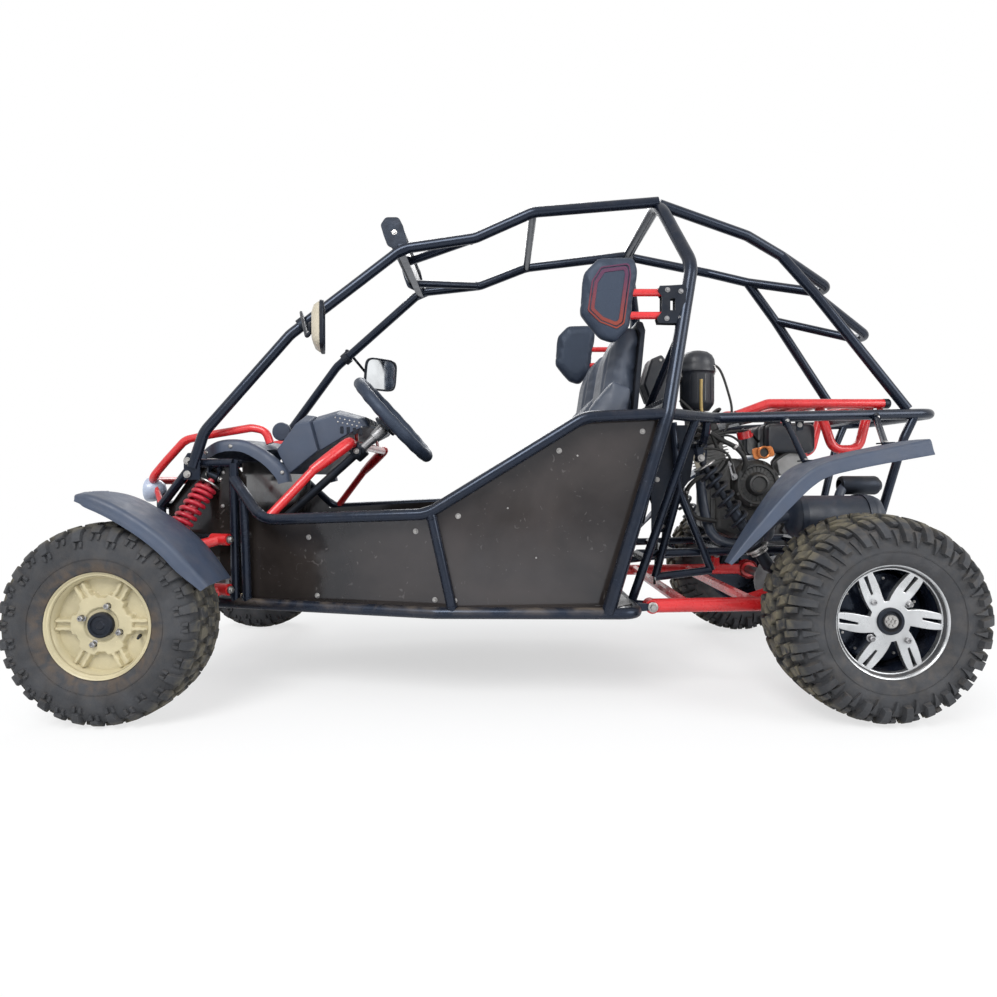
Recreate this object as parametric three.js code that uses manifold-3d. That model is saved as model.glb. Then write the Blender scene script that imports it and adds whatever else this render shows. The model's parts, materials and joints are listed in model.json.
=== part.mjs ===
// Two-seat off-road go-kart.
// Frame: millimetres, +X forward, +Y to the driver's left, +Z up, ground at Z = 0.
import * as THREE from 'three';
import { mergeVertices } from 'three/addons/utils/BufferGeometryUtils.js';
import Module from 'manifold-3d';

const wasm = await Module();
wasm.setup();

// ---------------------------------------------------------------- driving dimensions

const GAP = 0.3; // clearance between touching pieces
const RUNNING = 0.5; // clearance of sliding pins
const TURNING = 0.3; // clearance between the corners of a pin and the flats of its bore

const WHEELBASE = 2039;
const FRONT_AXLE_X = 1113;
const REAR_AXLE_X = FRONT_AXLE_X - WHEELBASE;
const MIDDLE_X = 20; // middle of the whole kart, where the finished model has its origin

// Wheels: radius and width of the tyre, centre plane, bead seat and rim width.
const FRONT_WHEEL = { radius: 265, width: 178, y: 600, bead: 127, rim: 150, face: 46 };
const REAR_WHEEL = { radius: 275, width: 250, y: 565, bead: 136, rim: 214, face: 78 };

const RAIL = 16; // tube radius of the rails and the cage
const HOOP = 19; // tube radius of the main hoop
const BRACE = 13; // tube radius of the braces
const LEG = 13; // tube radius of the suspension arms

const SILL_Z = 268; // centre of the lower rails
const COCKPIT_Y = 520; // half width over the seats
const NOSE_TOP_Z = 690;
const NOSE_FRONT = { x: 1130, y: 285 };
const NOSE_REAR = { x: 880, y: 352 };
const SILL_REAR_X = -305;

const HOOP_RAIL_Z = 826; // height where the side rails meet the hoop
const HOOP_TOP_Z = 1513;

const KINGPIN_Y = 490;
const STEER_ARM = 112; // kingpin to tie-rod pin
const TIE_ROD_Z = 345;
const RACK_X = FRONT_AXLE_X - STEER_ARM;
const RACK_Y = 340; // half length of the rack bar
const STEERING_WHEEL = { x: 418, y: 250, z: 829, radius: 170, slope: 42 };

const SHEET = 3; // panel and fender thickness
const SIDES = [1, -1];

// Stations of the frame tubes. Columns: x, half width y, z.
const SILL = [
  [NOSE_FRONT.x, NOSE_FRONT.y, SILL_Z],
  [NOSE_REAR.x, NOSE_REAR.y, SILL_Z],
  [262, COCKPIT_Y - 8, SILL_Z],
  [SILL_REAR_X, COCKPIT_Y, SILL_Z],
];
const NOSE_TOP = [
  [NOSE_FRONT.x, NOSE_FRONT.y + 15, 560],
  [1010, 345, NOSE_TOP_Z],
  [NOSE_REAR.x, NOSE_REAR.y + 18, NOSE_TOP_Z],
];
const UPPER_RAIL = [
  [NOSE_REAR.x, NOSE_REAR.y + 16, 642],
  [772, 440, 524],
  [285, COCKPIT_Y, 544],
  [-154, COCKPIT_Y, 815],
  [-389, COCKPIT_Y - 18, HOOP_RAIL_Z],
];
const MAIN_HOOP = [
  [-218, COCKPIT_Y, SILL_Z],
  [-389, COCKPIT_Y - 18, HOOP_RAIL_Z],
  [-479, 420, 1270],
  [-415, 265, HOOP_TOP_Z],
];
const A_PILLAR = [
  [1002, 374, 676],
  [970, 366, 783],
  [729, 310, 1086],
  [391, 258, 1368],
];
const ROOF_RAIL = [
  [391, 258, 1368],
  [160, 272, 1397],
  [-21, 288, 1472],
  [-415, 265, HOOP_TOP_Z],
];
const REAR_RAIL = [
  [-389, COCKPIT_Y - 18, HOOP_RAIL_Z],
  [-562, 350, HOOP_RAIL_Z],
  [-1322, 215, 853],
];
const CRADLE = [
  [-1246, 229, 849],
  [-1212, 225, 773],
  [-1120, 200, 420],
  [-360, 200, 400],
];
const BULKHEAD_TUBE = [
  [-495, 411, HOOP_RAIL_Z],
  [SILL_REAR_X - 10, 348, SILL_Z],
];
const REAR_STAY = [
  [-418, 262, HOOP_TOP_Z - 6],
  [-716, 207, 1427],
  [-846, 157, 1378],
  [-1057, 34, 1308],
];
const REAR_LEG = [
  [-846, 157, 1378],
  [-958, 176, 1238],
  [-1225, 222, 866],
];

const SWING = { y: 398, x: -364, z: 268, radius: 20, eye: 44 };
const AXLE = { radius: 17.5 };

// ---------------------------------------------------------------- finishes

const FINISH = {
  black: [0x14161b, 0.3, 0.2],
  red: [0xc8161c, 0.35, 0.1],
  plastic: [0x2b303a, 0.55, 0],
  panel: [0x1b1b1f, 0.2, 0.1],
  cream: [0xd9d2b8, 0.4, 0.3],
  alloy: [0xb8bbbf, 0.3, 0.9],
  steel: [0x8a8d91, 0.4, 0.8],
  tyre: [0x2c2a28, 0.9, 0],
  vinyl: [0x2a2c30, 0.6, 0],
  lamp: [0xc9ced6, 0.2, 0.1],
  engine: [0x2a2b2e, 0.5, 0.5],
};

function finish(name) {
  const [color, roughness, metalness] = FINISH[name];
  return new THREE.MeshStandardMaterial({ color, roughness, metalness });
}

// ---------------------------------------------------------------- solids

const WELD = 1e-3;

/** A closed three.js geometry as a solid that can be joined and cut. */
function solid(geometry) {
  geometry.deleteAttribute('normal');
  geometry.deleteAttribute('uv');
  const welded = mergeVertices(geometry, WELD);
  const corners = welded.index.array;
  const triVerts = [];
  for (let i = 0; i < corners.length; i += 3) {
    const [a, b, c] = [corners[i], corners[i + 1], corners[i + 2]];
    if (a !== b && b !== c && c !== a) {
      triVerts.push(a, b, c);
    }
  }
  return new wasm.Manifold(
    new wasm.Mesh({
      numProp: 3,
      vertProperties: new Float32Array(welded.attributes.position.array),
      triVerts: new Uint32Array(triVerts),
    }),
  );
}

function join(...shapes) {
  return shapes.flat().reduce((whole, shape) => whole.add(shape));
}

function cut(shape, ...tools) {
  return tools.flat().reduce((rest, tool) => rest.subtract(tool), shape);
}

/** The geometry of a finished solid. */
function geometryOf(shape) {
  const mesh = shape.getMesh();
  const geometry = new THREE.BufferGeometry();
  const places = new Float32Array((mesh.vertProperties.length / mesh.numProp) * 3);
  for (let i = 0; i * mesh.numProp < mesh.vertProperties.length; i += 1) {
    for (let axis = 0; axis < 3; axis += 1) {
      places[3 * i + axis] = mesh.vertProperties[i * mesh.numProp + axis];
    }
  }
  geometry.setAttribute('position', new THREE.BufferAttribute(places, 3));
  geometry.setIndex(new THREE.BufferAttribute(new Uint32Array(mesh.triVerts), 1));
  const flat = geometry.toNonIndexed();
  flat.computeVertexNormals();
  return flat;
}

function vec([x, y, z], side = 1) {
  return new THREE.Vector3(x, y * side, z);
}

function onSide(table, side) {
  return table.map((row) => vec(row, side));
}

/** The point of a table of stations at a given x. */
function stationAt(table, x) {
  for (let i = 0; i + 1 < table.length; i += 1) {
    const [a, b] = [table[i], table[i + 1]];
    if ((x - a[0]) * (x - b[0]) <= 0) {
      const t = (x - a[0]) / (b[0] - a[0]);
      return a.map((value, axis) => value + (b[axis] - value) * t);
    }
  }
  throw new Error(`no station at x ${x}`);
}

// ---------------------------------------------------------------- tubes

/** A curve through given points, with one extrusion step from each point to the next. */
class Route extends THREE.Curve {
  constructor(points) {
    super();
    this.points = points;
  }

  getPoint(t, target = new THREE.Vector3()) {
    const place = t * (this.points.length - 1);
    const first = Math.min(Math.round(place * 1e6) / 1e6, this.points.length - 1);
    const from = Math.min(Math.floor(first), this.points.length - 2);
    return target.lerpVectors(this.points[from], this.points[from + 1], first - from);
  }

  getPointAt(t, target) {
    return this.getPoint(t, target);
  }

  getTangentAt(t, target = new THREE.Vector3()) {
    const last = this.points.length - 1;
    const at = Math.round(t * last);
    const before = this.points[Math.max(at - 1, 0)];
    const here = this.points[at];
    const after = this.points[Math.min(at + 1, last)];
    const arriving = here.clone().sub(before).normalize();
    const leaving = after.clone().sub(here).normalize();
    return target.addVectors(arriving, leaving).normalize();
  }
}

const BEND_STEP = THREE.MathUtils.degToRad(46);

/** The corners of a route rounded to arcs of one bend radius. */
function bent(corners, bendRadius) {
  if (bendRadius === 0) {
    return corners;
  }
  const route = [corners[0].clone()];
  for (let i = 1; i + 1 < corners.length; i += 1) {
    const arriving = corners[i].clone().sub(corners[i - 1]);
    const leaving = corners[i + 1].clone().sub(corners[i]);
    const room = 0.48 * Math.min(arriving.length(), leaving.length());
    arriving.normalize();
    leaving.normalize();
    const turn = arriving.angleTo(leaving);
    if (turn < 0.02) {
      route.push(corners[i].clone());
      continue;
    }
    const radius = Math.min(bendRadius, room / Math.tan(turn / 2));
    const start = corners[i].clone().addScaledVector(arriving, -radius * Math.tan(turn / 2));
    const inward = leaving.clone().addScaledVector(arriving, -Math.cos(turn)).normalize();
    const steps = Math.max(1, Math.ceil(turn / BEND_STEP));
    for (let step = 0; step <= steps; step += 1) {
      const angle = (turn * step) / steps;
      route.push(
        start
          .clone()
          .addScaledVector(arriving, radius * Math.sin(angle))
          .addScaledVector(inward, radius * (1 - Math.cos(angle))),
      );
    }
  }
  route.push(corners[corners.length - 1].clone());
  return route;
}

/** A round bar along a route, its corners bent to a radius. */
function tube(corners, radius, { bend = 60, sides = radius < RAIL - 2 ? 6 : 8 } = {}) {
  const route = bent(corners, bend);
  const section = new THREE.Shape();
  for (let i = 0; i < sides; i += 1) {
    const angle = (2 * Math.PI * i) / sides;
    const [x, y] = [radius * Math.cos(angle), radius * Math.sin(angle)];
    if (i === 0) {
      section.moveTo(x, y);
    } else {
      section.lineTo(x, y);
    }
  }
  return solid(
    new THREE.ExtrudeGeometry(section, {
      steps: route.length - 1,
      extrudePath: new Route(route),
      curveSegments: 1,
      bevelEnabled: false,
    }),
  );
}

function rod(from, to, radius, sides) {
  return tube([from, to], radius, { sides });
}

// ---------------------------------------------------------------- revolved, flat and swept pieces

/** A profile of [radius, along] corners turned about an axis through a point. */
function turned(profile, options = {}) {
  const { at = vec([0, 0, 0]), axis = vec([0, 1, 0]), segments = 24, phase = 0 } = options;
  let area = 0;
  profile.forEach(([r, y], i) => {
    const [nextR, nextY] = profile[(i + 1) % profile.length];
    area += r * nextY - nextR * y;
  });
  const ordered = area > 0 ? profile : [...profile].reverse();
  const points = ordered.map(([r, y]) => new THREE.Vector2(r, y));
  if (ordered[0][0] !== 0 || ordered[ordered.length - 1][0] !== 0) {
    points.push(points[0].clone());
  }
  const geometry = new THREE.LatheGeometry(points, segments, phase);
  const turn = new THREE.Quaternion().setFromUnitVectors(vec([0, 1, 0]), axis.clone().normalize());
  geometry.applyQuaternion(turn);
  geometry.translate(at.x, at.y, at.z);
  return solid(geometry);
}

const ROUND = 12; // sides of a small round piece

/** The radius of a many-sided bore in which a pin can turn. */
function boreRadius(pin, sides) {
  return (pin + TURNING) / Math.cos(Math.PI / sides);
}

/** A plain round boss from one point to another. */
function boss(from, to, radius, segments = ROUND) {
  const along = to.clone().sub(from);
  const profile = [[0, 0], [radius, 0], [radius, along.length()], [0, along.length()]];
  return turned(profile, { at: from, axis: along, segments });
}

function outline(points) {
  return new THREE.Shape(points.map(([x, y]) => new THREE.Vector2(x, y)));
}

/** A flat plate: its outline lies in the plane of two axes, and it is centred on that plane. */
function plate(points, thickness, origin, xAxis, yAxis) {
  const geometry = new THREE.ExtrudeGeometry(outline(points), {
    depth: thickness,
    steps: 1,
    curveSegments: 1,
    bevelEnabled: false,
  });
  geometry.translate(0, 0, -thickness / 2);
  const x = xAxis.clone().normalize();
  const z = new THREE.Vector3().crossVectors(x, yAxis).normalize();
  const y = new THREE.Vector3().crossVectors(z, x);
  const placing = new THREE.Matrix4().makeBasis(x, y, z).setPosition(origin);
  geometry.applyMatrix4(placing);
  return solid(geometry);
}

const AXIS = { x: vec([1, 0, 0]), y: vec([0, 1, 0]), z: vec([0, 0, 1]) };

/** A block between two corners. */
function block([x0, y0, z0], [x1, y1, z1]) {
  const geometry = new THREE.BoxGeometry(Math.abs(x1 - x0), Math.abs(y1 - y0), Math.abs(z1 - z0));
  geometry.translate((x0 + x1) / 2, (y0 + y1) / 2, (z0 + z1) / 2);
  return solid(geometry);
}

/** A plate in the XZ plane between two values of y. Corners are [x, z]. */
function sidePlate(points, y0, y1) {
  const middle = vec([0, (y0 + y1) / 2, 0]);
  return plate(points, Math.abs(y1 - y0), middle, AXIS.x, AXIS.z);
}

/** A plate in the YZ plane between two values of x. Corners are [y, z]. */
function crossPlate(points, x0, x1) {
  const middle = vec([(x0 + x1) / 2, 0, 0]);
  return plate(points, Math.abs(x1 - x0), middle, AXIS.y, AXIS.z);
}

/** A plate in the XY plane between two values of z. Corners are [x, y]. */
function levelPlate(points, z0, z1) {
  const middle = vec([0, 0, (z0 + z1) / 2]);
  return plate(points, Math.abs(z1 - z0), middle, AXIS.x, AXIS.y);
}

/** A solid skinned over rings of equal count, capped with the triangulation of a flat section. */
function loft(rings, section) {
  const count = section.length;
  const places = rings.flat().flatMap((p) => [p.x, p.y, p.z]);
  const faces = [];
  for (let ring = 0; ring + 1 < rings.length; ring += 1) {
    for (let i = 0; i < count; i += 1) {
      const j = (i + 1) % count;
      const [a, b] = [ring * count + i, ring * count + j];
      faces.push(a, b, b + count, a, b + count, a + count);
    }
  }
  const flat = section.map(([x, y]) => new THREE.Vector2(x, y));
  const clockwise = THREE.ShapeUtils.isClockWise(flat);
  const last = (rings.length - 1) * count;
  THREE.ShapeUtils.triangulateShape(clockwise ? [...flat].reverse() : flat, []).forEach((cap) => {
    const [a, b, c] = clockwise ? cap.map((i) => count - 1 - i).reverse() : cap;
    faces.push(a, c, b, last + a, last + b, last + c);
  });
  const geometry = new THREE.BufferGeometry();
  geometry.setAttribute('position', new THREE.Float32BufferAttribute(places, 3));
  geometry.setIndex(faces);
  const shape = solid(geometry);
  if (shape.volume() > 0) {
    return shape;
  }
  const turnedOut = [];
  for (let i = 0; i < faces.length; i += 3) {
    turnedOut.push(faces[i], faces[i + 2], faces[i + 1]);
  }
  geometry.setIndex(turnedOut);
  return solid(geometry);
}

/** A section of [y, height] swept along a path of [x, z] that runs in the side view. */
function sideSweep(path, section, side, widths, middle = 0) {
  const rings = path.map(([x, z], i) => {
    const [x0, z0] = path[Math.max(i - 1, 0)];
    const [x1, z1] = path[Math.min(i + 1, path.length - 1)];
    const length = Math.hypot(x1 - x0, z1 - z0);
    const up = [(z1 - z0) / length, -(x1 - x0) / length];
    const flip = up[1] < 0 ? -1 : 1;
    return section.map(
      ([y, h]) => vec([x + flip * up[0] * h, middle + y * widths[i], z + flip * up[1] * h], side),
    );
  });
  return loft(rings, section);
}

// ---------------------------------------------------------------- fittings

const EYE = { outer: 12, length: 30 };

/** The round bush of a pivot, centred on a point. */
function bush(at, axis, { outer = EYE.outer, length = EYE.length, segments = 8 } = {}) {
  const half = axis.clone().normalize().multiplyScalar(length / 2);
  return boss(at.clone().sub(half), at.clone().add(half), outer, segments);
}

/** Two ears either side of a bush. They reach from its centre to what carries them. */
function clevis(at, axis, reach, { length = EYE.length, ear = 5, lip = 6, half = EYE.outer } = {}) {
  const across = axis.clone().normalize();
  const out = reach.clone().addScaledVector(across, -reach.dot(across));
  const end = out.length();
  const profile = [[-lip, -half * 0.6], [end, -half], [end, half], [-lip, half * 0.6]];
  return join(SIDES.map((ends) => {
    const middle = at.clone().addScaledVector(across, ends * (length / 2 + GAP + ear / 2));
    return plate(profile, ear, middle, out, new THREE.Vector3().crossVectors(across, out));
  }));
}

/** A coil-over shock absorber between the middles of its two eyes. */
function shock(top, bottom, { pin, coil, wire, body, turns }) {
  const length = bottom.distanceTo(top);
  const down = bottom.clone().sub(top).normalize();
  const at = (distance) => top.clone().addScaledVector(down, distance);
  const across = new THREE.Vector3().crossVectors(down, pin).normalize();
  const pinAxis = new THREE.Vector3().crossVectors(across, down).normalize();
  const seatTop = EYE.outer + 16;
  const seatBottom = length - EYE.outer - 16;
  const cup = coil + wire;
  const damper = turned(
    [[0, 4], [9, 4], [cup, seatTop - 6], [cup, seatTop], [body * 0.5, seatTop],
      [body * 0.5, length * 0.5], [body, length * 0.5], [body, seatBottom], [cup, seatBottom],
      [cup, seatBottom + 6], [9, length - 4], [0, length - 4]],
    { at: top, axis: down, segments: 8 },
  );
  const stepsPerTurn = 6;
  const steps = Math.round(turns * stepsPerTurn);
  const spring = [];
  for (let i = 0; i <= steps; i += 1) {
    const angle = (2 * Math.PI * i) / stepsPerTurn;
    spring.push(
      at(seatTop - 1 + ((seatBottom + 2 - seatTop) * i) / steps)
        .addScaledVector(across, coil * Math.cos(angle))
        .addScaledVector(pinAxis, coil * Math.sin(angle)),
    );
  }
  const wound = tube(spring, wire, { bend: 0, sides: 4 });
  return {
    shape: join(damper, wound, bush(top, pinAxis), bush(bottom, pinAxis)),
    pinAxis,
    top,
    bottom,
  };
}

// ---------------------------------------------------------------- model

const model = new THREE.Group();
model.position.x = -MIDDLE_X;

function part(name, shape, finishName, parent = model) {
  const mesh = new THREE.Mesh(geometryOf(shape), finish(finishName));
  mesh.name = name;
  parent.add(mesh);
  return mesh;
}

const NAME = { 1: 'left', '-1': 'right' };

/** Stations of the left side carried on across the middle to the right side. */
function mirroredRoute(table) {
  return [...onSide(table, 1), ...onSide(table, -1).reverse()];
}

/** Tubes that several nodes meet, each as a function of how far its surface is grown. */
const tubes = {
  sills: (grow = 0) => tube(mirroredRoute(SILL), RAIL + grow, { bend: 50 }),
  upperRail: (side, grow = 0) => tube(onSide(UPPER_RAIL, side), RAIL + grow, { bend: 90 }),
  noseTop: (side, grow = 0) => tube(onSide(NOSE_TOP, side), BRACE + grow, { bend: 60 }),
  noseFront: (side, grow = 0) => rod(
    vec([NOSE_FRONT.x, NOSE_FRONT.y, SILL_Z], side),
    vec(NOSE_TOP[0], side),
    BRACE + grow,
  ),
  noseUpright: (side, grow = 0) => rod(
    vec([NOSE_REAR.x, NOSE_REAR.y, SILL_Z], side),
    vec(NOSE_TOP[2], side),
    BRACE + grow,
  ),
  divider: (side, grow = 0) => rod(
    vec(stationAt(UPPER_RAIL, DIVIDER.top), side),
    vec(stationAt(SILL, DIVIDER.foot), side),
    BRACE + 1 + grow,
  ),
  frontUpright: (side, grow = 0) => rod(
    vec(stationAt(UPPER_RAIL, FRONT_UPRIGHT_X), side),
    vec(stationAt(SILL, FRONT_UPRIGHT_X), side),
    BRACE + grow,
  ),
  hoop: (grow = 0) => tube(mirroredRoute(MAIN_HOOP), HOOP + grow, { bend: 110 }),
  rearRail: (grow = 0) => tube(mirroredRoute(REAR_RAIL), RAIL + grow, { bend: 70 }),
  bulkhead: (side, grow = 0) => (
    rod(vec(BULKHEAD_TUBE[0], side), vec(BULKHEAD_TUBE[1], side), BRACE + grow)
  ),
};

/** A straight tube across the car through one station. */
function crossTube([x, y, z], radius = BRACE) {
  return rod(vec([x, y, z]), vec([x, -y, z]), radius);
}

// Lower frame: sills, cross tubes, and the nose that carries the front suspension.

const ARM_PIVOT = { front: 1082, rear: 916, upperZ: 462, lowerZ: 312, out: 29, length: 56 };

/** Half width of the nose side at a station, on the line between sill and waist. */
function noseY(x, z) {
  const low = stationAt(SILL, x)[1];
  const high = stationAt([NOSE_TOP[0], NOSE_TOP[2]], x)[1];
  return low + ((high - low) * (z - SILL_Z)) / (NOSE_TOP_Z - SILL_Z);
}

function armPivots(side, z) {
  const { front, rear, out } = ARM_PIVOT;
  return [front, rear].map((x) => vec([x, noseY(x, z) + out, z], side));
}

function armPivotAxis(side, z) {
  const [front, rear] = armPivots(side, z);
  return front.sub(rear).normalize();
}

function nose(side) {
  const { upperZ, lowerZ, length } = ARM_PIVOT;
  const waist = (station) => vec([station, noseY(station, upperZ), upperZ], side);
  const pieces = [
    tubes.noseFront(side),
    rod(waist(NOSE_FRONT.x), waist(NOSE_REAR.x), BRACE),
    tubes.noseUpright(side),
    tubes.noseTop(side),
  ];
  for (const z of [upperZ, lowerZ]) {
    const axis = armPivotAxis(side, z);
    for (const pivot of armPivots(side, z)) {
      const carrierZ = z === upperZ ? upperZ : SILL_Z;
      const carrier = vec([pivot.x, noseY(pivot.x, carrierZ), carrierZ], side);
      pieces.push(clevis(pivot, axis, carrier.sub(pivot), { length, half: 9, lip: 2 }));
    }
  }
  const unit = frontShock(side);
  const bearer = vec(stationAt(NOSE_TOP, unit.top.x), side);
  pieces.push(clevis(unit.top, unit.pinAxis, bearer.sub(unit.top)));
  return pieces;
}

function lowerFrame() {
  const pieces = [tubes.sills()];
  for (const x of [NOSE_FRONT.x, RACK_X, NOSE_REAR.x, 560, 200, -150]) {
    pieces.push(crossTube([x, stationAt(SILL, x)[1], SILL_Z]));
  }
  pieces.push(crossTube(NOSE_TOP[0]), crossTube(NOSE_TOP[2]));
  for (const side of SIDES) {
    pieces.push(...nose(side));
    const carrier = vec([SILL_REAR_X, SWING.y, SILL_Z], side);
    const pivot = vec([SWING.x, SWING.y, SWING.z], side);
    pieces.push(clevis(pivot, AXIS.y, carrier.sub(pivot), { length: SWING.eye, half: 14, ear: 6 }));
  }
  return join(pieces);
}

// Main hoop behind the seats, with its shoulder bar.

const SHOULDER_BAR = { x: -396, z: HOOP_RAIL_Z + 40 };

function mainHoop() {
  const hoopY = stationAt(MAIN_HOOP.slice(1, 3), SHOULDER_BAR.x)[1];
  const bar = crossTube([SHOULDER_BAR.x, hoopY, SHOULDER_BAR.z]);
  return cut(join(tubes.hoop(), bar), tubes.sills(GAP));
}

// Side frames: upper rail, divider and front upright of each side.

const DIVIDER = { top: 275, foot: 213 };
const FRONT_UPRIGHT_X = 842;

function sideFrame(side) {
  return cut(
    join(tubes.upperRail(side), tubes.divider(side), tubes.frontUpright(side)),
    tubes.sills(GAP),
    tubes.hoop(GAP),
    tubes.noseUpright(side, GAP),
  );
}

// Front cage: windscreen pillars, roof rails and roof bars, bolted to the nose and the hoop.

const ROOF_BAR_X = 391;
const ROOF_FORK = { y: 128, join: 160 };
const PILLAR_FOOT = [[-24, -36], [24, -36], [24, 26], [12, 44], [-12, 44], [-24, 26]];

function frontCage() {
  const corner = A_PILLAR[A_PILLAR.length - 1];
  const roofBend = ROOF_RAIL[2];
  const pieces = [
    block(
      [ROOF_BAR_X - 12, corner[1], corner[2] - 20],
      [ROOF_BAR_X + 12, -corner[1], corner[2] + 16],
    ),
    crossTube(roofBend),
  ];
  for (const side of SIDES) {
    const route = [...onSide(A_PILLAR, side), ...onSide(ROOF_RAIL, side).slice(1)];
    pieces.push(tube(route, RAIL, { bend: 90 }));
    const inner = vec([ROOF_BAR_X, ROOF_FORK.y, corner[2] - 2], side);
    pieces.push(rod(inner, vec(stationAt(ROOF_RAIL, ROOF_FORK.join), side), BRACE));
    const [x, y, z] = A_PILLAR[0];
    const foot = PILLAR_FOOT.map(([dx, dz]) => [x + dx, z + dz]);
    pieces.push(sidePlate(foot, side * (y - 4), side * (y + 4)));
  }
  return cut(join(pieces), tubes.hoop(GAP), SIDES.map((side) => tubes.noseTop(side, GAP)));
}

// Rear cage: two stays that close in a loop behind the roof, and the legs that carry it.

const LOWER_LOOP = { back: 236, drop: 98, y: 34 };

function rearCage() {
  const [x, , z] = REAR_LEG[1];
  const loop = [REAR_LEG[1], [x - LOWER_LOOP.back, LOWER_LOOP.y, z - LOWER_LOOP.drop]];
  const pieces = [
    tube(mirroredRoute(REAR_STAY), RAIL, { bend: 70 }),
    tube(mirroredRoute(loop), RAIL - 2, { bend: 60 }),
  ];
  for (const side of SIDES) {
    pieces.push(tube(onSide(REAR_LEG, side), RAIL));
  }
  return cut(join(pieces), tubes.hoop(GAP), tubes.rearRail(GAP));
}

// Rear frame: the rail loop behind the hoop, the cradle under the engine and the bulkhead.

const CRADLE_BARS = [-1000, -830, -660, -480];
const RACK_BARS = [-708, -1150];
const SHOCK_BAR = { x: -540, z: 752 };

function rearFrame() {
  const railAtBar = stationAt(REAR_RAIL, SHOCK_BAR.x);
  const shockBar = [
    railAtBar,
    [SHOCK_BAR.x, railAtBar[1] - 30, SHOCK_BAR.z],
  ];
  const pieces = [
    tubes.rearRail(),
    tube(mirroredRoute(shockBar), BRACE, { bend: 40 }),
    ...CRADLE_BARS.map((x) => crossTube(stationAt(CRADLE.slice(2), x))),
    ...RACK_BARS.map((x) => crossTube(stationAt(REAR_RAIL, x))),
  ];
  for (const side of SIDES) {
    pieces.push(tube(onSide(CRADLE, side), BRACE, { bend: 60 }));
    pieces.push(tubes.bulkhead(side));
    const [x, , z] = CRADLE[3];
    const [, y] = stationAt(BULKHEAD_TUBE, x);
    pieces.push(rod(vec([x, CRADLE[3][1], z], side), vec([x, y, z], side), BRACE));
    const unit = rearShock(side);
    const reach = vec([SHOCK_BAR.x - unit.top.x, 0, SHOCK_BAR.z - unit.top.z]);
    pieces.push(clevis(unit.top, unit.pinAxis, reach));
  }
  return cut(join(pieces), tubes.hoop(GAP), tubes.sills(GAP));
}

// Shock absorbers. Ends are x, half width y, z.

const SHOCK_FRONT = { top: [950, 340, 650], bottom: [1045, 428, 463] };
const SHOCK_REAR = { top: [-545, 268, 706], bottom: [-768, 296, 345] };

function frontShock(side) {
  return shock(vec(SHOCK_FRONT.top, side), vec(SHOCK_FRONT.bottom, side), {
    pin: AXIS.x, coil: 19, wire: 5, body: 12, turns: 5,
  });
}

function rearShock(side) {
  return shock(vec(SHOCK_REAR.top, side), vec(SHOCK_REAR.bottom, side), {
    pin: AXIS.y, coil: 27, wire: 6, body: 18, turns: 6,
  });
}

// Suspension arms: each is a fork of two tubes from its pivots to the ball joint.

const BALL = { radius: 15, pin: 7, pinSides: 6, upperZ: 393, lowerZ: 232, height: 20, reach: 16 };

function ballPlace(side, z) {
  return vec([FRONT_AXLE_X, KINGPIN_Y, z], side);
}

function suspensionArm(side, upper) {
  const pivotZ = upper ? ARM_PIVOT.upperZ : ARM_PIVOT.lowerZ;
  const inboard = upper ? 1 : -1;
  const ball = ballPlace(side, upper ? BALL.upperZ : BALL.lowerZ);
  const half = vec([0, 0, BALL.height / 2]);
  const legEnd = ball.clone().add(vec([0, 0, inboard * LEG]));
  const pinEnd = ball.clone().add(vec([0, 0, -inboard * (BALL.height / 2 + BALL.reach)]));
  const pieces = [
    boss(ball.clone().sub(half), ball.clone().add(half), BALL.radius),
    rod(ball, pinEnd, BALL.pin, BALL.pinSides),
  ];
  const pivots = armPivots(side, pivotZ);
  for (const pivot of pivots) {
    pieces.push(rod(legEnd, pivot, LEG));
    pieces.push(bush(pivot, armPivotAxis(side, pivotZ), { outer: LEG + 2, length: ARM_PIVOT.length }));
  }
  if (upper) {
    const unit = frontShock(side);
    const mount = unit.bottom;
    const [front, rear] = pivots.map(
      (pivot) => pivot.clone().lerp(legEnd, (mount.y - pivot.y) / (legEnd.y - pivot.y)),
    );
    pieces.push(rod(front, rear, LEG));
    pieces.push(clevis(mount, unit.pinAxis, vec([0, 0, front.z - LEG / 2 - mount.z])));
  }
  return join(pieces);
}

// Knuckle: the upright between the ball joints, its stub axle and its steering arm.

const STUB = { radius: 12, end: FRONT_WHEEL.y + FRONT_WHEEL.face - 6 };
const STEERING_ARM = { thickness: 10, z: TIE_ROD_Z + 15 };
const FENDER_POST = { x: FRONT_AXLE_X + 38, halfWidth: 15, thickness: 4 };

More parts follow.
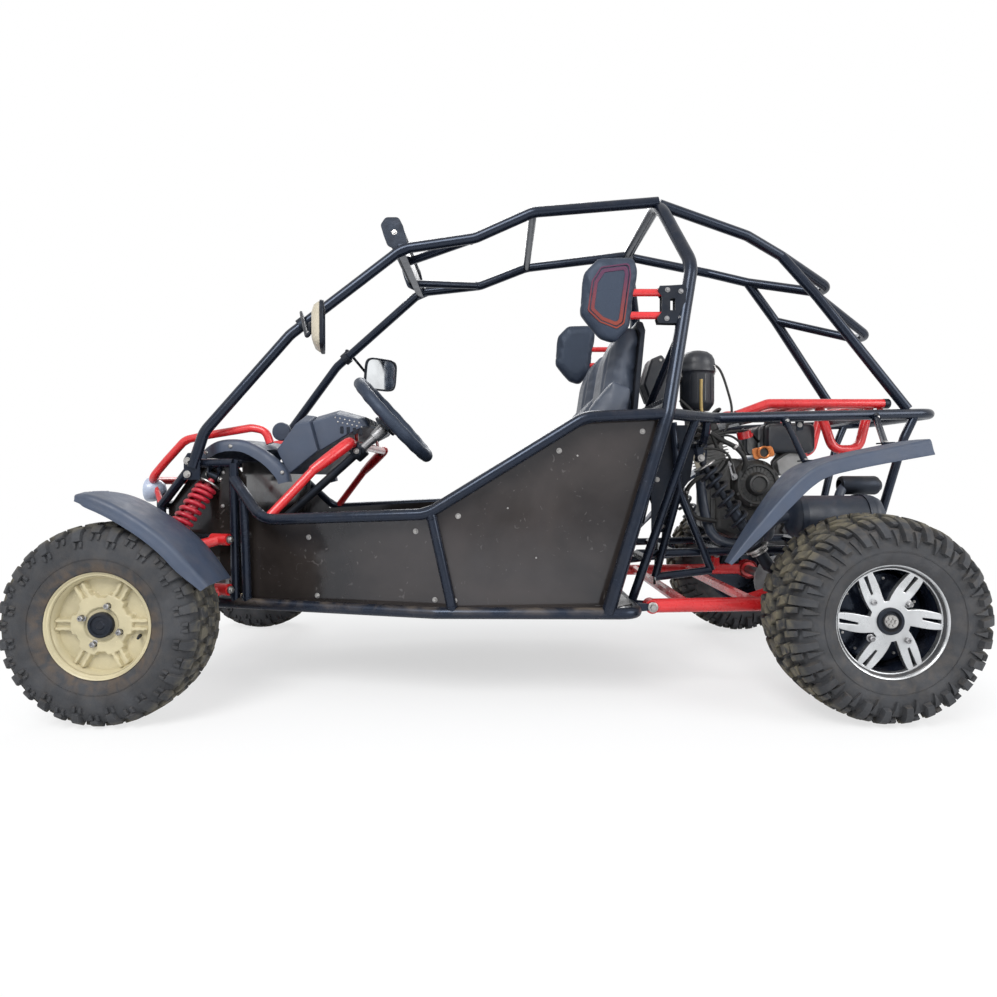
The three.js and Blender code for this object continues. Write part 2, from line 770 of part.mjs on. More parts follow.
function knuckle(side) {
  const top = BALL.upperZ - BALL.height / 2 - GAP;
  const foot = BALL.lowerZ + BALL.height / 2 + GAP;
  const axle = (y) => vec([FRONT_AXLE_X, y, FRONT_WHEEL.radius], side);
  const arm = levelPlate(
    [
      [FRONT_AXLE_X, side * (KINGPIN_Y - 13)],
      [FRONT_AXLE_X, side * (KINGPIN_Y + 13)],
      [RACK_X - 4, side * (KINGPIN_Y + 9)],
      [RACK_X - 14, side * KINGPIN_Y],
      [RACK_X - 4, side * (KINGPIN_Y - 9)],
    ],
    STEERING_ARM.z - STEERING_ARM.thickness / 2,
    STEERING_ARM.z + STEERING_ARM.thickness / 2,
  );
  const { x, halfWidth, thickness } = FENDER_POST;
  const postY = KINGPIN_Y + 4;
  const postTop = fenderHeight(x - halfWidth) - FENDER.lip - 2 * GAP;
  const post = sidePlate(
    [[FRONT_AXLE_X, 325], [x + halfWidth, 330], [x + halfWidth, postTop], [x - halfWidth, postTop],
      [x - halfWidth, 365], [FRONT_AXLE_X, 360]],
    side * (postY - thickness / 2),
    side * (postY + thickness / 2),
  );
  const shelf = levelPlate(
    [[x - halfWidth, side * (postY - 2)], [x + halfWidth, side * (postY - 2)],
      [x + halfWidth, side * FRONT_WHEEL.y], [x - halfWidth, side * FRONT_WHEEL.y]],
    postTop - thickness,
    postTop,
  );
  const pinBores = [[foot - 1, foot + BALL.reach + 1], [top - BALL.reach - 1, top + 1]].map(
    ([low, high]) => rod(
      ballPlace(side, low),
      ballPlace(side, high),
      boreRadius(BALL.pin, BALL.pinSides),
      BALL.pinSides,
    ),
  );
  return cut(
    join(
      boss(ballPlace(side, foot), ballPlace(side, top), BALL.radius),
      boss(axle(KINGPIN_Y), axle(KINGPIN_Y + 38), 22),
      boss(axle(KINGPIN_Y), axle(STUB.end), STUB.radius),
      arm,
      post,
      shelf,
    ),
    pinBores,
  );
}

// Front fenders turn with the wheels. Columns: x, z along the middle, width factor.

const FENDER_PATH = [
  [1172, 602, 0.7],
  [1130, 602, 0.95],
  [1075, 583, 1],
  [1020, 553, 1],
  [963, 516, 1],
  [914, 475, 1],
  [872, 428, 1],
  [822, 366, 0.85],
];
const FENDER = { inner: 516, outer: 700, skirt: 34, crown: 6, lip: 10 };

function fenderHeight(x) {
  return stationAt(FENDER_PATH.map(([px, pz]) => [px, 0, pz]), x)[2];
}

/** Half an inverted trough: crowned top, long skirt on the outer edge, short lip inside. */
function fenderSection(half, skirt, crown, lip = FENDER.lip) {
  return [
    [-half, 0], [0, crown], [half - 6, 0], [half, -7], [half, -skirt], [half - SHEET, -skirt],
    [half - SHEET, -8.5], [half - 7.5, -SHEET], [0, crown - SHEET], [-half + SHEET, -SHEET],
    [-half + SHEET, -lip], [-half, -lip],
  ];
}

function frontFender(side) {
  const middle = (FENDER.inner + FENDER.outer) / 2;
  const half = (FENDER.outer - FENDER.inner) / 2;
  const section = fenderSection(half, FENDER.skirt, FENDER.crown);
  const widths = FENDER_PATH.map(([, , width]) => width);
  return sideSweep(FENDER_PATH, section, side, widths, middle);
}

// Wheels.

function wheelRim({ rim, bead, face, spokes, hub, bore, sweep }) {
  const half = rim / 2;
  const flange = bead + 12;
  const profile = [
    [0, face + 14], [hub * 0.6, face + 14], [hub, face], [bead - 20, face],
    [flange - 5, half], [flange, half], [bead, half - 9],
    [bead - 12, half - 34], [bead - 12, -half + 34], [bead, -half + 9],
    [flange, -half], [bead - 17, -half + 30],
    [bead - 17, face - 12], [hub * 0.8, face - 12], [hub * 0.8, face - 52], [bore, face - 52],
    [bore, face - 4], [0, face - 4],
  ];
  const whole = turned(profile, { segments: 16 });
  const windows = [];
  const inner = hub + 16;
  const outer = bead - 24;
  for (let i = 0; i < spokes; i += 1) {
    const angle = (2 * Math.PI * i) / spokes;
    const corner = (r, offset) => {
      const turn = angle + offset + sweep * ((r - inner) / (outer - inner));
      return [r * Math.cos(turn), r * Math.sin(turn)];
    };
    windows.push(sidePlate(
      [corner(inner, -0.2), corner(outer, -0.28), corner(outer, 0.28), corner(inner, 0.2)],
      face - 20,
      face + 20,
    ));
  }
  return cut(whole, windows);
}

const TYRE_FACETS = 20;

/** A tyre with flat treads: one facet lies level on the ground. */
function tyre({ radius, width, rim, bead }) {
  const half = width / 2;
  const seat = rim / 2 - 9 - GAP;
  const wall = 10;
  const r = bead + 1.5;
  const tall = radius - bead;
  const around = 1 / Math.cos(Math.PI / TYRE_FACETS);
  const outer = [
    [r, seat - 2], [bead + 15, rim / 2 + 1], [bead + tall * 0.45, half],
    [bead + tall * 0.78, half - 6], [radius, half - 34],
  ];
  const inner = [[radius - wall * 2, half - 44], [r, seat - 16]];
  const mirror = (points) => points.map(([a, b]) => [a, -b]).reverse();
  const profile = [...outer, ...mirror(outer), ...mirror(inner), ...inner];
  const grown = profile.map(([a, b]) => [a * around, b]);
  return turned(grown, { segments: TYRE_FACETS, phase: Math.PI / TYRE_FACETS });
}

const FRONT_RIM = { ...FRONT_WHEEL, spokes: 6, hub: 36, bore: STUB.radius + RUNNING, sweep: 0 };
const REAR_RIM = { ...REAR_WHEEL, spokes: 6, hub: 40, bore: AXLE.radius + RUNNING, sweep: 0.35 };

function placeWheel(name, shape, finishName, x, size, side) {
  const mesh = part(name, shape, finishName);
  mesh.position.set(x, side * size.y, size.radius);
  if (side < 0) {
    mesh.rotation.z = Math.PI;
  }
}

// Rear axle: the live shaft with its hubs, sprocket and brake disc.

const SPROCKET = { radius: 92, thickness: 7, y: -60 };
const DISC = { radius: 88, thickness: 4, y: 110 };

function rearAxle() {
  const at = (y) => vec([REAR_AXLE_X, y, REAR_WHEEL.radius]);
  const end = REAR_WHEEL.y + REAR_WHEEL.face - 5;
  const pieces = [
    boss(at(-end), at(end), AXLE.radius),
    boss(at(SPROCKET.y), at(SPROCKET.y + SPROCKET.thickness), SPROCKET.radius, 20),
    boss(at(DISC.y), at(DISC.y + DISC.thickness), DISC.radius, 20),
  ];
  for (const y of [SPROCKET.y, DISC.y]) {
    pieces.push(boss(at(y - 14), at(y + 20), 32));
  }
  return join(pieces);
}

// Swing arm: two side tubes, two cross tubes, and the bearing carriers of the axle.

const BEARING = { outer: 36, length: 40 };

function swingArm() {
  const pieces = [];
  const bores = [];
  const bars = [-470, SHOCK_REAR.bottom[0] + 85];
  for (const side of SIDES) {
    const pivot = vec([SWING.x, SWING.y, SWING.z], side);
    const end = vec([REAR_AXLE_X, SWING.y - 10, REAR_WHEEL.radius], side);
    const half = vec([0, BEARING.length / 2, 0]);
    pieces.push(bush(pivot, AXIS.y, { outer: 16, length: SWING.eye }));
    pieces.push(rod(pivot, end, SWING.radius, 10));
    pieces.push(boss(end.clone().sub(half), end.clone().add(half), BEARING.outer, 14));
    half.multiplyScalar(1.5);
    bores.push(boss(end.clone().sub(half), end.clone().add(half), boreRadius(AXLE.radius, ROUND)));
    const unit = rearShock(side);
    const foot = vec([bars[1], SHOCK_REAR.bottom[1], SWING.z + 3], side);
    const outboard = vec([SHOCK_REAR.bottom[0], SWING.y, SWING.z + 3], side);
    const seat = vec([SHOCK_REAR.bottom[0], SHOCK_REAR.bottom[1], 300], side);
    pieces.push(rod(foot, seat, 14), rod(outboard, seat, 14));
    pieces.push(clevis(unit.bottom, unit.pinAxis, seat.clone().sub(unit.bottom)));
  }
  for (const x of bars) {
    pieces.push(crossTube([x, SWING.y, SWING.z + 3], 17));
  }
  return cut(join(pieces), bores);
}

// Steering: wheel and column on one straight axis, rack with its tie rods.

const SLOPE = THREE.MathUtils.degToRad(STEERING_WHEEL.slope);
const COLUMN = {
  radius: 13,
  axis: vec([-Math.cos(SLOPE), 0, Math.sin(SLOPE)]),
  foot: 668,
  bearing: 150,
};

function columnPoint(distance) {
  const { x, y, z } = STEERING_WHEEL;
  return vec([x, y, z]).addScaledVector(COLUMN.axis, -distance);
}

function steeringWheel() {
  const { radius } = STEERING_WHEEL;
  const grip = 14;
  const gripSection = [];
  for (let i = 0; i < 6; i += 1) {
    const angle = (2 * Math.PI * i) / 6;
    gripSection.push([radius - grip + grip * Math.cos(angle), grip * Math.sin(angle)]);
  }
  const centre = columnPoint(0);
  const hub = columnPoint(28);
  const pieces = [
    turned(gripSection, { at: centre, axis: COLUMN.axis, segments: 18 }),
    boss(columnPoint(38), columnPoint(16), 34, 12),
    boss(columnPoint(COLUMN.foot), columnPoint(20), COLUMN.radius),
  ];
  const up = new THREE.Vector3().crossVectors(AXIS.y, COLUMN.axis).normalize();
  for (const angle of [90, 210, 330]) {
    const turn = THREE.MathUtils.degToRad(angle);
    const outward = AXIS.y.clone().multiplyScalar(Math.cos(turn)).addScaledVector(up, Math.sin(turn));
    const spoke = centre.clone().addScaledVector(outward, radius - grip).sub(hub);
    const side = new THREE.Vector3().crossVectors(COLUMN.axis, outward);
    const length = spoke.length();
    pieces.push(plate([[0, -18], [length, -12], [length, 12], [0, 18]], 5, hub, spoke, side));
  }
  return join(pieces);
}

const RACK = { bar: 12, housing: 22, left: STEERING_WHEEL.y + 20, right: -190, feet: [150, -150] };

function rackHousing() {
  const { bar, housing, left, right, feet } = RACK;
  const bore = bar + RUNNING;
  const at = vec([RACK_X, 0, TIE_ROD_Z]);
  const sleeve = turned([[bore, right], [housing, right], [housing, left], [bore, left]], {
    at,
    segments: 12,
  });
  const pieces = [sleeve];
  const top = columnPoint(COLUMN.foot + GAP);
  pieces.push(boss(columnPoint(COLUMN.foot + 46), top, 20));
  pieces.push(block(
    [columnPoint(COLUMN.foot).x + 14, left - 44, TIE_ROD_Z - 18],
    [RACK_X, left - 4, TIE_ROD_Z + 18],
  ));
  const rest = SILL_Z + BRACE + GAP;
  for (const y of feet) {
    pieces.push(block([RACK_X - 16, y - 14, rest], [RACK_X + 16, y + 14, TIE_ROD_Z - housing + 4]));
  }
  const through = boss(vec([RACK_X, right - 1, TIE_ROD_Z]), vec([RACK_X, left + 1, TIE_ROD_Z]), bore);
  return cut(join(pieces), through);
}

function steeringRack() {
  const at = (y) => vec([RACK_X, y, TIE_ROD_Z]);
  const pieces = [boss(at(-RACK_Y), at(RACK_Y), RACK.bar)];
  for (const side of SIDES) {
    const eyeTop = STEERING_ARM.z - STEERING_ARM.thickness / 2 - RUNNING;
    pieces.push(rod(at(side * RACK_Y), at(side * KINGPIN_Y), 8));
    pieces.push(boss(at(side * (RACK_Y - 14)), at(side * (RACK_Y + 16)), 16));
    pieces.push(boss(
      vec([RACK_X, side * KINGPIN_Y, TIE_ROD_Z - 12]),
      vec([RACK_X, side * KINGPIN_Y, eyeTop]),
      13,
    ));
  }
  return join(pieces);
}

// Dash hoop: the red bar across the cockpit that carries the column bearing.

const DASH_HOOP = [
  [758, 442, 525],
  [620, 372, 690],
  [545, 318, 752],
];
const DASH_POST_Y = 190;

function dashHoop() {
  const bearing = bush(columnPoint(COLUMN.bearing), COLUMN.axis, {
    outer: 25, length: 34, segments: 12,
  });
  const bore = boss(
    columnPoint(COLUMN.bearing - 30),
    columnPoint(COLUMN.bearing + 30),
    boreRadius(COLUMN.radius, ROUND),
  );
  const [x, , z] = DASH_HOOP[2];
  const posts = SIDES.map((side) => rod(
    vec([x, DASH_POST_Y, z], side),
    vec([x + 12, DASH_POST_Y, 847], side),
    6,
  ));
  const hoop = tube(mirroredRoute(DASH_HOOP), BRACE, { bend: 60 });
  const rails = SIDES.map((side) => tubes.upperRail(side, GAP));
  return cut(join(hoop, bearing, posts), bore, rails);
}

// Dashboard: a folded cover, open below. Columns: x, z.

const DASH_OUTSIDE = [[772, 668], [778, 786], [694, 846], [540, 854], [512, 792]];
const DASH_INSIDE = [[768, 640], [774, 784], [692, 842], [543, 849], [517, 792], [490, 760]];
const DASH_Y = 280;

function dashboard() {
  return cut(
    sidePlate(DASH_OUTSIDE, -DASH_Y, DASH_Y),
    sidePlate(DASH_INSIDE, -DASH_Y + 4, DASH_Y - 4),
  );
}

// Front cowl over the footwell. Columns: x, z, width factor.

const COWL_PATH = [
  [1015, 714.3, 0.86],
  [960, 750.3, 0.94],
  [880, 773.3, 1],
  [830, 766.3, 1],
  [795, 736.3, 1],
];

function frontCowl() {
  const section = [
    [-330, -66], [-268, 0], [268, 0], [330, -66], [327, -68], [266, -4], [-266, -4], [-327, -68],
  ];
  return sideSweep(COWL_PATH, section, 1, COWL_PATH.map(([, , width]) => width));
}

// Front bumper: the red guard tube over the nose.

const BUMPER = [
  [792, 304, 752],
  [806, 304, 792],
  [850, 304, 800],
  [992, 304, 776],
  [1054, 304, 763],
  [1113, 300, 700],
  [1172, 290, 636],
];
const BUMPER_RADIUS = 12;
const BUMPER_STAY_X = 1000;

function frontBumper() {
  const route = [...onSide(BUMPER, 1), ...onSide(BUMPER, -1).reverse()];
  const pieces = [tube(route, BUMPER_RADIUS, { bend: 45 })];
  for (const side of SIDES) {
    const crown = vec(stationAt(BUMPER, BUMPER_STAY_X), side);
    const rest = vec(stationAt(NOSE_TOP, BUMPER_STAY_X), side);
    pieces.push(rod(crown, rest, 8, 6));
    const low = vec(BUMPER[6], side);
    pieces.push(rod(low.clone().setY(low.y - side * 30), vec(NOSE_TOP[0], side), 8, 6));
  }
  const nosePieces = SIDES.flatMap((side) => [tubes.noseTop(side, GAP), tubes.noseFront(side, GAP)]);
  return cut(join(pieces), nosePieces, crossTube(NOSE_TOP[0], BRACE + GAP));
}

const LAMP = { x: 1188, y: 250, z: 608, radius: 38, depth: 46 };

function headlight(side) {
  const { x, y, z, radius, depth } = LAMP;
  const at = vec([x, y, z], side);
  const shell = turned(
    [[0, 0], [radius * 0.6, 0], [radius, depth * 0.5], [radius, depth], [radius - 5, depth + 4],
      [0, depth + 8]],
    { at, axis: AXIS.x, segments: 16 },
  );
  const [barX, , barZ] = BUMPER[6];
  const lug = block(
    [barX - 10, side * (y - 10), z - 8],
    [x + 10, side * (y + 8), barZ - BUMPER_RADIUS - 2 * GAP],
  );
  return join(shell, lug);
}

// Light bar over the roof's front bar.

const LIGHT_BAR = { x: 418, z: 1424, half: 236, depth: 42, height: 62 };

function lightBar() {
  const { x, z, half, depth, height } = LIGHT_BAR;
  const corner = A_PILLAR[A_PILLAR.length - 1];
  const foot = corner[2] + 16 + GAP;
  const body = sidePlate(
    [[x - depth / 2, z - height * 0.3], [x - depth * 0.3, z - height / 2], [x + depth / 2, z - height / 2],
      [x + depth / 2, z + height / 2], [x - depth * 0.3, z + height / 2],
      [x - depth / 2, z + height * 0.3]],
    -half,
    half,
  );
  const feet = SIDES.map((side) => block(
    [ROOF_BAR_X - 10, side * (half - 60), foot],
    [x, side * (half - 35), z - height * 0.3],
  ));
  return join(body, feet);
}

// Mirrors on the windscreen pillars.

const MIRROR = { x: 604, y: 462, z: 1076, width: 160, height: 132, depth: 34, toe: 12 };

function mirror(side) {
  const { x, y, z, width, height, depth, toe } = MIRROR;
  const turn = THREE.MathUtils.degToRad(toe) * side;
  const across = vec([-Math.sin(turn), Math.cos(turn), 0]);
  const [w, h] = [width / 2, height / 2];
  const face = [[-w, -h * 0.7], [-w * 0.8, -h], [w * 0.8, -h], [w, -h * 0.7], [w, h * 0.7],
    [w * 0.8, h], [-w * 0.8, h], [-w, h * 0.7]];
  const shell = plate(face, depth, vec([x, y, z], side), across, AXIS.z);
  const pillar = vec(stationAt(A_PILLAR, 690), side);
  const arm = rod(pillar, vec([x + 10, y - 40, z - 20], side), 8, 8);
  const tubeCut = tube(onSide(A_PILLAR, side), RAIL + GAP, { bend: 90 });
  return cut(join(shell, arm), tubeCut);
}

// Floor and the front wall of the footwell, one bent sheet.

const FLOOR_TOP = SILL_Z + BRACE + GAP + SHEET;
const TOE_WALL_X = NOSE_REAR.x - BRACE - 6;

function floorPan() {
  const z = FLOOR_TOP - SHEET;
  const inset = 12;
  const corner = 50;
  const front = TOE_WALL_X;
  const rear = SILL_REAR_X + RAIL / 2;
  const stations = [front, SILL[2][0], rear + corner];
  const edge = stations.map((x) => [x, stationAt(SILL, x)[1] - inset]);
  edge.push([rear, COCKPIT_Y - inset - corner]);
  const floor = levelPlate([...edge, ...edge.map(([x, y]) => [x, -y]).reverse()], z, z + SHEET);
  const low = edge[0][1];
  const high = NOSE_REAR.y;
  const wall = crossPlate(
    [[-low, z], [low, z], [high, NOSE_TOP_Z], [-high, NOSE_TOP_Z]],
    front - SHEET,
    front,
  );
  const columnHole = boss(columnPoint(560), columnPoint(640), COLUMN.radius + 8);
  const frames = SIDES.flatMap((side) => [
    tubes.divider(side, GAP),
    tubes.frontUpright(side, GAP),
    tubes.noseUpright(side, GAP),
  ]);
  return cut(join(floor, wall), tubes.hoop(GAP), tubes.sills(GAP), frames, columnHole);
}

// Side panels: flat sheets fixed to the inner side of the side frames. Corner columns: x, z.

const PANEL_FOOT = FLOOR_TOP + GAP;
const PANEL_FRONT = TOE_WALL_X - SHEET - 1;

function railHeight(x) {
  return stationAt(UPPER_RAIL, x)[2];
}

// A panel lies in the plane through a place, with its y growing by run along x and by rise along z.
const FRONT_PANEL = {
  place: [NOSE_REAR.x, NOSE_REAR.y - RAIL - 6, SILL_Z],
  run: -0.25,
  rise: 0.0507,
  corners: [
    [PANEL_FRONT, PANEL_FOOT],
    [PANEL_FRONT, railHeight(PANEL_FRONT)],
    [UPPER_RAIL[1][0], UPPER_RAIL[1][2]],
    [DIVIDER.top + 2, railHeight(DIVIDER.top + 2)],
    [DIVIDER.foot + 2, PANEL_FOOT],
  ],
};
const REAR_PANEL = {
  place: [DIVIDER.top, COCKPIT_Y - HOOP - 1, SILL_Z],
  run: 0.031,
  rise: 0,
  corners: [
    [DIVIDER.foot - 2, PANEL_FOOT],
    [DIVIDER.top - 2, railHeight(DIVIDER.top - 2)],
    [UPPER_RAIL[3][0], UPPER_RAIL[3][2]],
    [-372, railHeight(-372)],
    [-214, PANEL_FOOT],
  ],
};

function sidePanel(side, { place, run, rise, corners }) {
  const [x0, y0, z0] = place;
  const along = vec([1, run, 0], side);
  const up = vec([0, rise, 1], side);
  const origin = vec(place, side);
  const [across, normal] = [along.clone().normalize(), new THREE.Vector3().crossVectors(along, up)];
  const upright = new THREE.Vector3().crossVectors(normal.normalize(), across);
  const flat = corners.map(([x, z]) => {
    const corner = vec([x, y0 + run * (x - x0) + rise * (z - z0), z], side).sub(origin);
    return [corner.dot(across), corner.dot(upright)];
  });
  return plate(flat, SHEET, origin, along, up);
}

// Seats. Side profile columns: x, z.

const SEAT = { y: 250, half: 208, shoulders: 164 };
const CUSHION_PROFILE = [[250, 330], [276, 385], [250, 440], [-110, 402], [-240, 402], [-226, 330]];
const BACK_PROFILE = [
  [-120, 398], [-160, 440], [-266, 1075], [-290, 1108], [-326, 1108], [-342, 1080], [-322, 850],
  [-245, 398],
];
const BOLSTER_PROFILE = [
  [-120, 410], [-60, 500], [-86, 660], [-196, 852], [-262, 930], [-300, 900], [-226, 420],
];

function seat(side) {
  const { y, half, shoulders } = SEAT;
  const inner = side * (y - half);
  const outer = side * (y + half);
  const pieces = [
    sidePlate(CUSHION_PROFILE, inner, outer),
    sidePlate(BACK_PROFILE, side * (y - shoulders), side * (y + shoulders)),
    sidePlate(BOLSTER_PROFILE, inner, inner + side * 62),
    sidePlate(BOLSTER_PROFILE, outer, outer - side * 62),
    block([-200, side * (y - 150), FLOOR_TOP + GAP], [220, side * (y + 150), 345]),
  ];
  return join(pieces);
}

// Shoulder guards: a padded plate on two tubes from a bracket on the hoop. Columns: x, z.

const GUARD_PAD = [
  [-199, 1276], [-303, 1280], [-314, 1240], [-290, 1078], [-248, 1032], [-205, 1046],
  [-147, 1115], [-159, 1236],
];
const GUARD = { y: 446, thickness: 52, tubes: [1180, 1114], tube: 10 };

function shoulderGuard(side) {
  const { y, thickness, tubes: heights, tube: radius } = GUARD;
  const pad = sidePlate(GUARD_PAD, side * (y - thickness / 2), side * (y + thickness / 2));
  const bracket = sidePlate(
    [[-378, 1190], [-452, 1200], [-448, 1088], [-374, 1094]],
    side * (y - 4),
    side * (y + 4),
  );
  const bars = heights.map((z) => rod(vec([-280, y, z], side), vec([-400, y, z], side), radius));
  return cut(join(pad, bracket, bars), tubes.hoop(GAP));
}

// Engine: crankcase with its round side cover, finned cylinder, head, and feet on the cradle.

const ENGINE = { x: -745, z: 600, halfWidth: 120 };

function engine() {
  const cover = vec([-762, 118, 622]);
  const pieces = [
    sidePlate(
      [[-640, 470], [-700, 440], [-840, 450], [-868, 560], [-830, 690], [-700, 715], [-640, 640]],
      -ENGINE.halfWidth,
      ENGINE.halfWidth,
    ),
    boss(cover, cover.clone().setY(168), 80, 18),
    boss(cover, cover.clone().setY(180), 46, 14),
    boss(vec([-760, -ENGINE.halfWidth, 600]), vec([-760, -150, 600]), 70, 14),
  ];
  const foot = vec([-675, 0, 640]);
  const head = vec([-628, 0, 838]);
  const rise = head.clone().sub(foot);
  pieces.push(boss(foot, head, 44, 12));
  for (let i = 0; i < 6; i += 1) {
    const at = foot.clone().addScaledVector(rise, 0.36 + i * 0.11);
    const finX = new THREE.Vector3().crossVectors(AXIS.y, rise).normalize();
    pieces.push(plate([[-56, -56], [56, -56], [56, 56], [-56, 56]], 6, at, AXIS.y, finX));
  }
  for (const x of CRADLE_BARS.slice(1, 3)) {
    const top = stationAt(CRADLE.slice(2), x)[2] + BRACE + GAP;
    pieces.push(block([x - 22, -80, top], [x + 22, 80, 480]));
  }
  return join(pieces);
}

const MUFFLER = { y: 330, z: 527, radius: 65, front: -795, rear: -1076 };

function muffler() {
  const { y, z, radius, front, rear } = MUFFLER;
  const at = vec([front, y, z]);
  const length = front - rear;
  const body = turned(
    [[0, 0], [radius * 0.7, 0], [radius, 18], [radius, length - 14], [radius * 0.8, length],
      [0, length]],
    { at, axis: vec([-1, 0, 0]), segments: 16 },
  );
  const resonator = boss(vec([-985, 262, 622]), vec([-1110, 262, 622]), 30, 12);
  const link = rod(vec([-1030, y - 20, z + 30]), vec([-1030, 262, 622]), 18);
  const strap = block([rear + 20, 232, z - 16], [rear - 66, y - 40, z + 16]);
  const inlet = tube(
    [vec([front - 10, y, z]), vec([-750, y, z]), vec([-732, 235, 560]), vec([-680, 180, 700]),
      vec([-640, 140, 770]), vec([-640, 56 + GAP, 770])],
    17,
    { bend: 30 },
  );
  const cradle = SIDES.map((side) => tube(onSide(CRADLE, side), BRACE + GAP, { bend: 60 }));
  return cut(join(body, resonator, link, strap, inlet), cradle);
}

function airFilter() {
  const pot = turned(
    [[0, 0], [42, 0], [55, 20], [55, 128], [62, 130], [62, 142], [50, 176], [26, 200], [0, 204]],
    { at: vec([-585, 96, 872]), axis: AXIS.z, segments: 16 },
  );
  const snorkel = tube(
    [vec([-560, 96, 985]), vec([-500, 80, 985]), vec([-448, 60, 950])],
    26,
    { bend: 50 },
  );
  const neck = tube([vec([-590, 96, 885]), vec([-605, 96, 818]), vec([-605, 56 + GAP, 818])], 18, {
    bend: 20,
  });
  return join(pot, snorkel, neck);
}

// Fuel tank under the rear rack.

const RACK_TOP = { z: 885, y: 205, radius: 13 };
const RACK_RUNGS = [-800, -960, -1128];
const TANK = { front: -806, rear: -965, half: 150, low: 728, high: 826 };

function fuelTank() {
  const { front, rear, half, low, high } = TANK;
  const body = crossPlate(
    [[-half, low + 20], [-half + 20, low], [half - 20, low], [half, low + 20], [half, high - 20],
      [half - 20, high], [-half + 20, high], [-half, high - 20]],
    rear,
    front,
  );
  const middle = (front + rear) / 2;
  const lugs = [100, -100].map((y) => block(
    [middle - 20, y - 14, high - 4],
    [middle + 20, y + 14, RACK_TOP.z - RACK_TOP.radius - GAP],
  ));
  const cap = boss(vec([middle, 0, high - 2]), vec([middle, 0, high + 20]), 28, 12);
  return join(body, lugs, cap);
}

// Rear rack: the red carrier over the engine, on the two rack bars.

function rearRack() {
  const { z, y, radius } = RACK_TOP;
  const pieces = [];
  const middle = (TANK.front + TANK.rear) / 2;
  for (const side of SIDES) {
    const route = [vec([-682, y, 847], side), vec([-783, y, z], side), vec([-1162, y, z], side)];
    pieces.push(tube(route, radius, { bend: 60 }));
    const rest = stationAt(REAR_RAIL, RACK_BARS[1])[2] + BRACE + GAP;
    pieces.push(rod(vec([RACK_BARS[1], y - 8, z], side), vec([RACK_BARS[1], y - 8, rest], side), 9));
    const guard = [
      vec([RACK_RUNGS[1], y - 30, z], side),
      vec([-1008, y - 30, 738], side),
      vec([-1092, y - 30, 738], side),
      vec([RACK_RUNGS[2], y - 30, z], side),
    ];
    pieces.push(tube(guard, 12, { bend: 30 }));
  }
  for (const x of [middle, ...RACK_RUNGS]) {
    pieces.push(crossTube([x, y, z], radius));
  }
  const bars = RACK_BARS.map((x) => crossTube(stationAt(REAR_RAIL, x), BRACE + GAP));
  return cut(join(pieces), bars);
}

// Rear fenders. Columns: x, z along the middle, width factor.

const REAR_FENDER_PATH = [
  [-522, 420, 0.3],
  [-612, 534, 0.7],
  [-725, 655, 1],
  [-800, 690, 1],
  [-1055, 748, 0.92],
];
const REAR_FENDER = { inner: 424, outer: 620, skirt: 34 };
const REAR_STRUTS = [
  { rail: -792, foot: [-800, 446] },
  { rail: -1104, foot: [-1030, 446] },
];

function rearFender(side) {
  const middle = (REAR_FENDER.inner + REAR_FENDER.outer) / 2;
  const half = (REAR_FENDER.outer - REAR_FENDER.inner) / 2;
  const section = fenderSection(half, REAR_FENDER.skirt, 0);
  const widths = REAR_FENDER_PATH.map(([, , width]) => width);
  const pieces = [sideSweep(REAR_FENDER_PATH, section, side, widths, middle)];
  const heights = REAR_FENDER_PATH.map(([x, z]) => [x, 0, z]);
  for (const { rail, foot } of REAR_STRUTS) {
    const seatZ = stationAt(heights, foot[0])[2];
    const top = vec(stationAt(REAR_RAIL, rail), side);
    pieces.push(rod(top, vec([foot[0], foot[1], seatZ - 2], side), 9));
  }
  return cut(join(pieces), tubes.rearRail(GAP));
}

// Pedals on one foot plate.

const PEDALS = { x: 800, arms: [180, 315], z: 425 };

function pedals() {
  const foot = FLOOR_TOP + GAP;
  const pieces = [block([PEDALS.x - 30, 150, foot], [PEDALS.x + 30, 340, foot + 8])];
  for (const y of PEDALS.arms) {
    const head = vec([PEDALS.x - 34, y, PEDALS.z]);
    pieces.push(rod(vec([PEDALS.x, y, foot + 4]), head, 7));
    pieces.push(plate([[-28, -34], [28, -34], [28, 34], [-28, 34]], 7, head, AXIS.y, vec([-0.35, 0, 1])));
  }
  return join(pieces);
}

part('lower_frame', lowerFrame(), 'black');
part('main_hoop', mainHoop(), 'black');
part('front_cage', frontCage(), 'black');
part('rear_cage', rearCage(), 'black');
part('rear_frame', rearFrame(), 'black');
part('floor_pan', floorPan(), 'panel');
part('dash_hoop', dashHoop(), 'red');
part('dashboard', dashboard(), 'plastic');
part('front_cowl', frontCowl(), 'plastic');
part('front_bumper', frontBumper(), 'red');
part('light_bar', lightBar(), 'black');
part('pedals', pedals(), 'steel');
part('steering_wheel', steeringWheel(), 'black');
part('rack_housing', rackHousing(), 'alloy');
part('steering_rack', steeringRack(), 'steel');
part('rear_axle', rearAxle(), 'steel');
part('swing_arm', swingArm(), 'red');
part('engine', engine(), 'engine');
part('muffler', muffler(), 'engine');
part('air_filter', airFilter(), 'plastic');
part('fuel_tank', fuelTank(), 'plastic');
part('rear_rack', rearRack(), 'red');

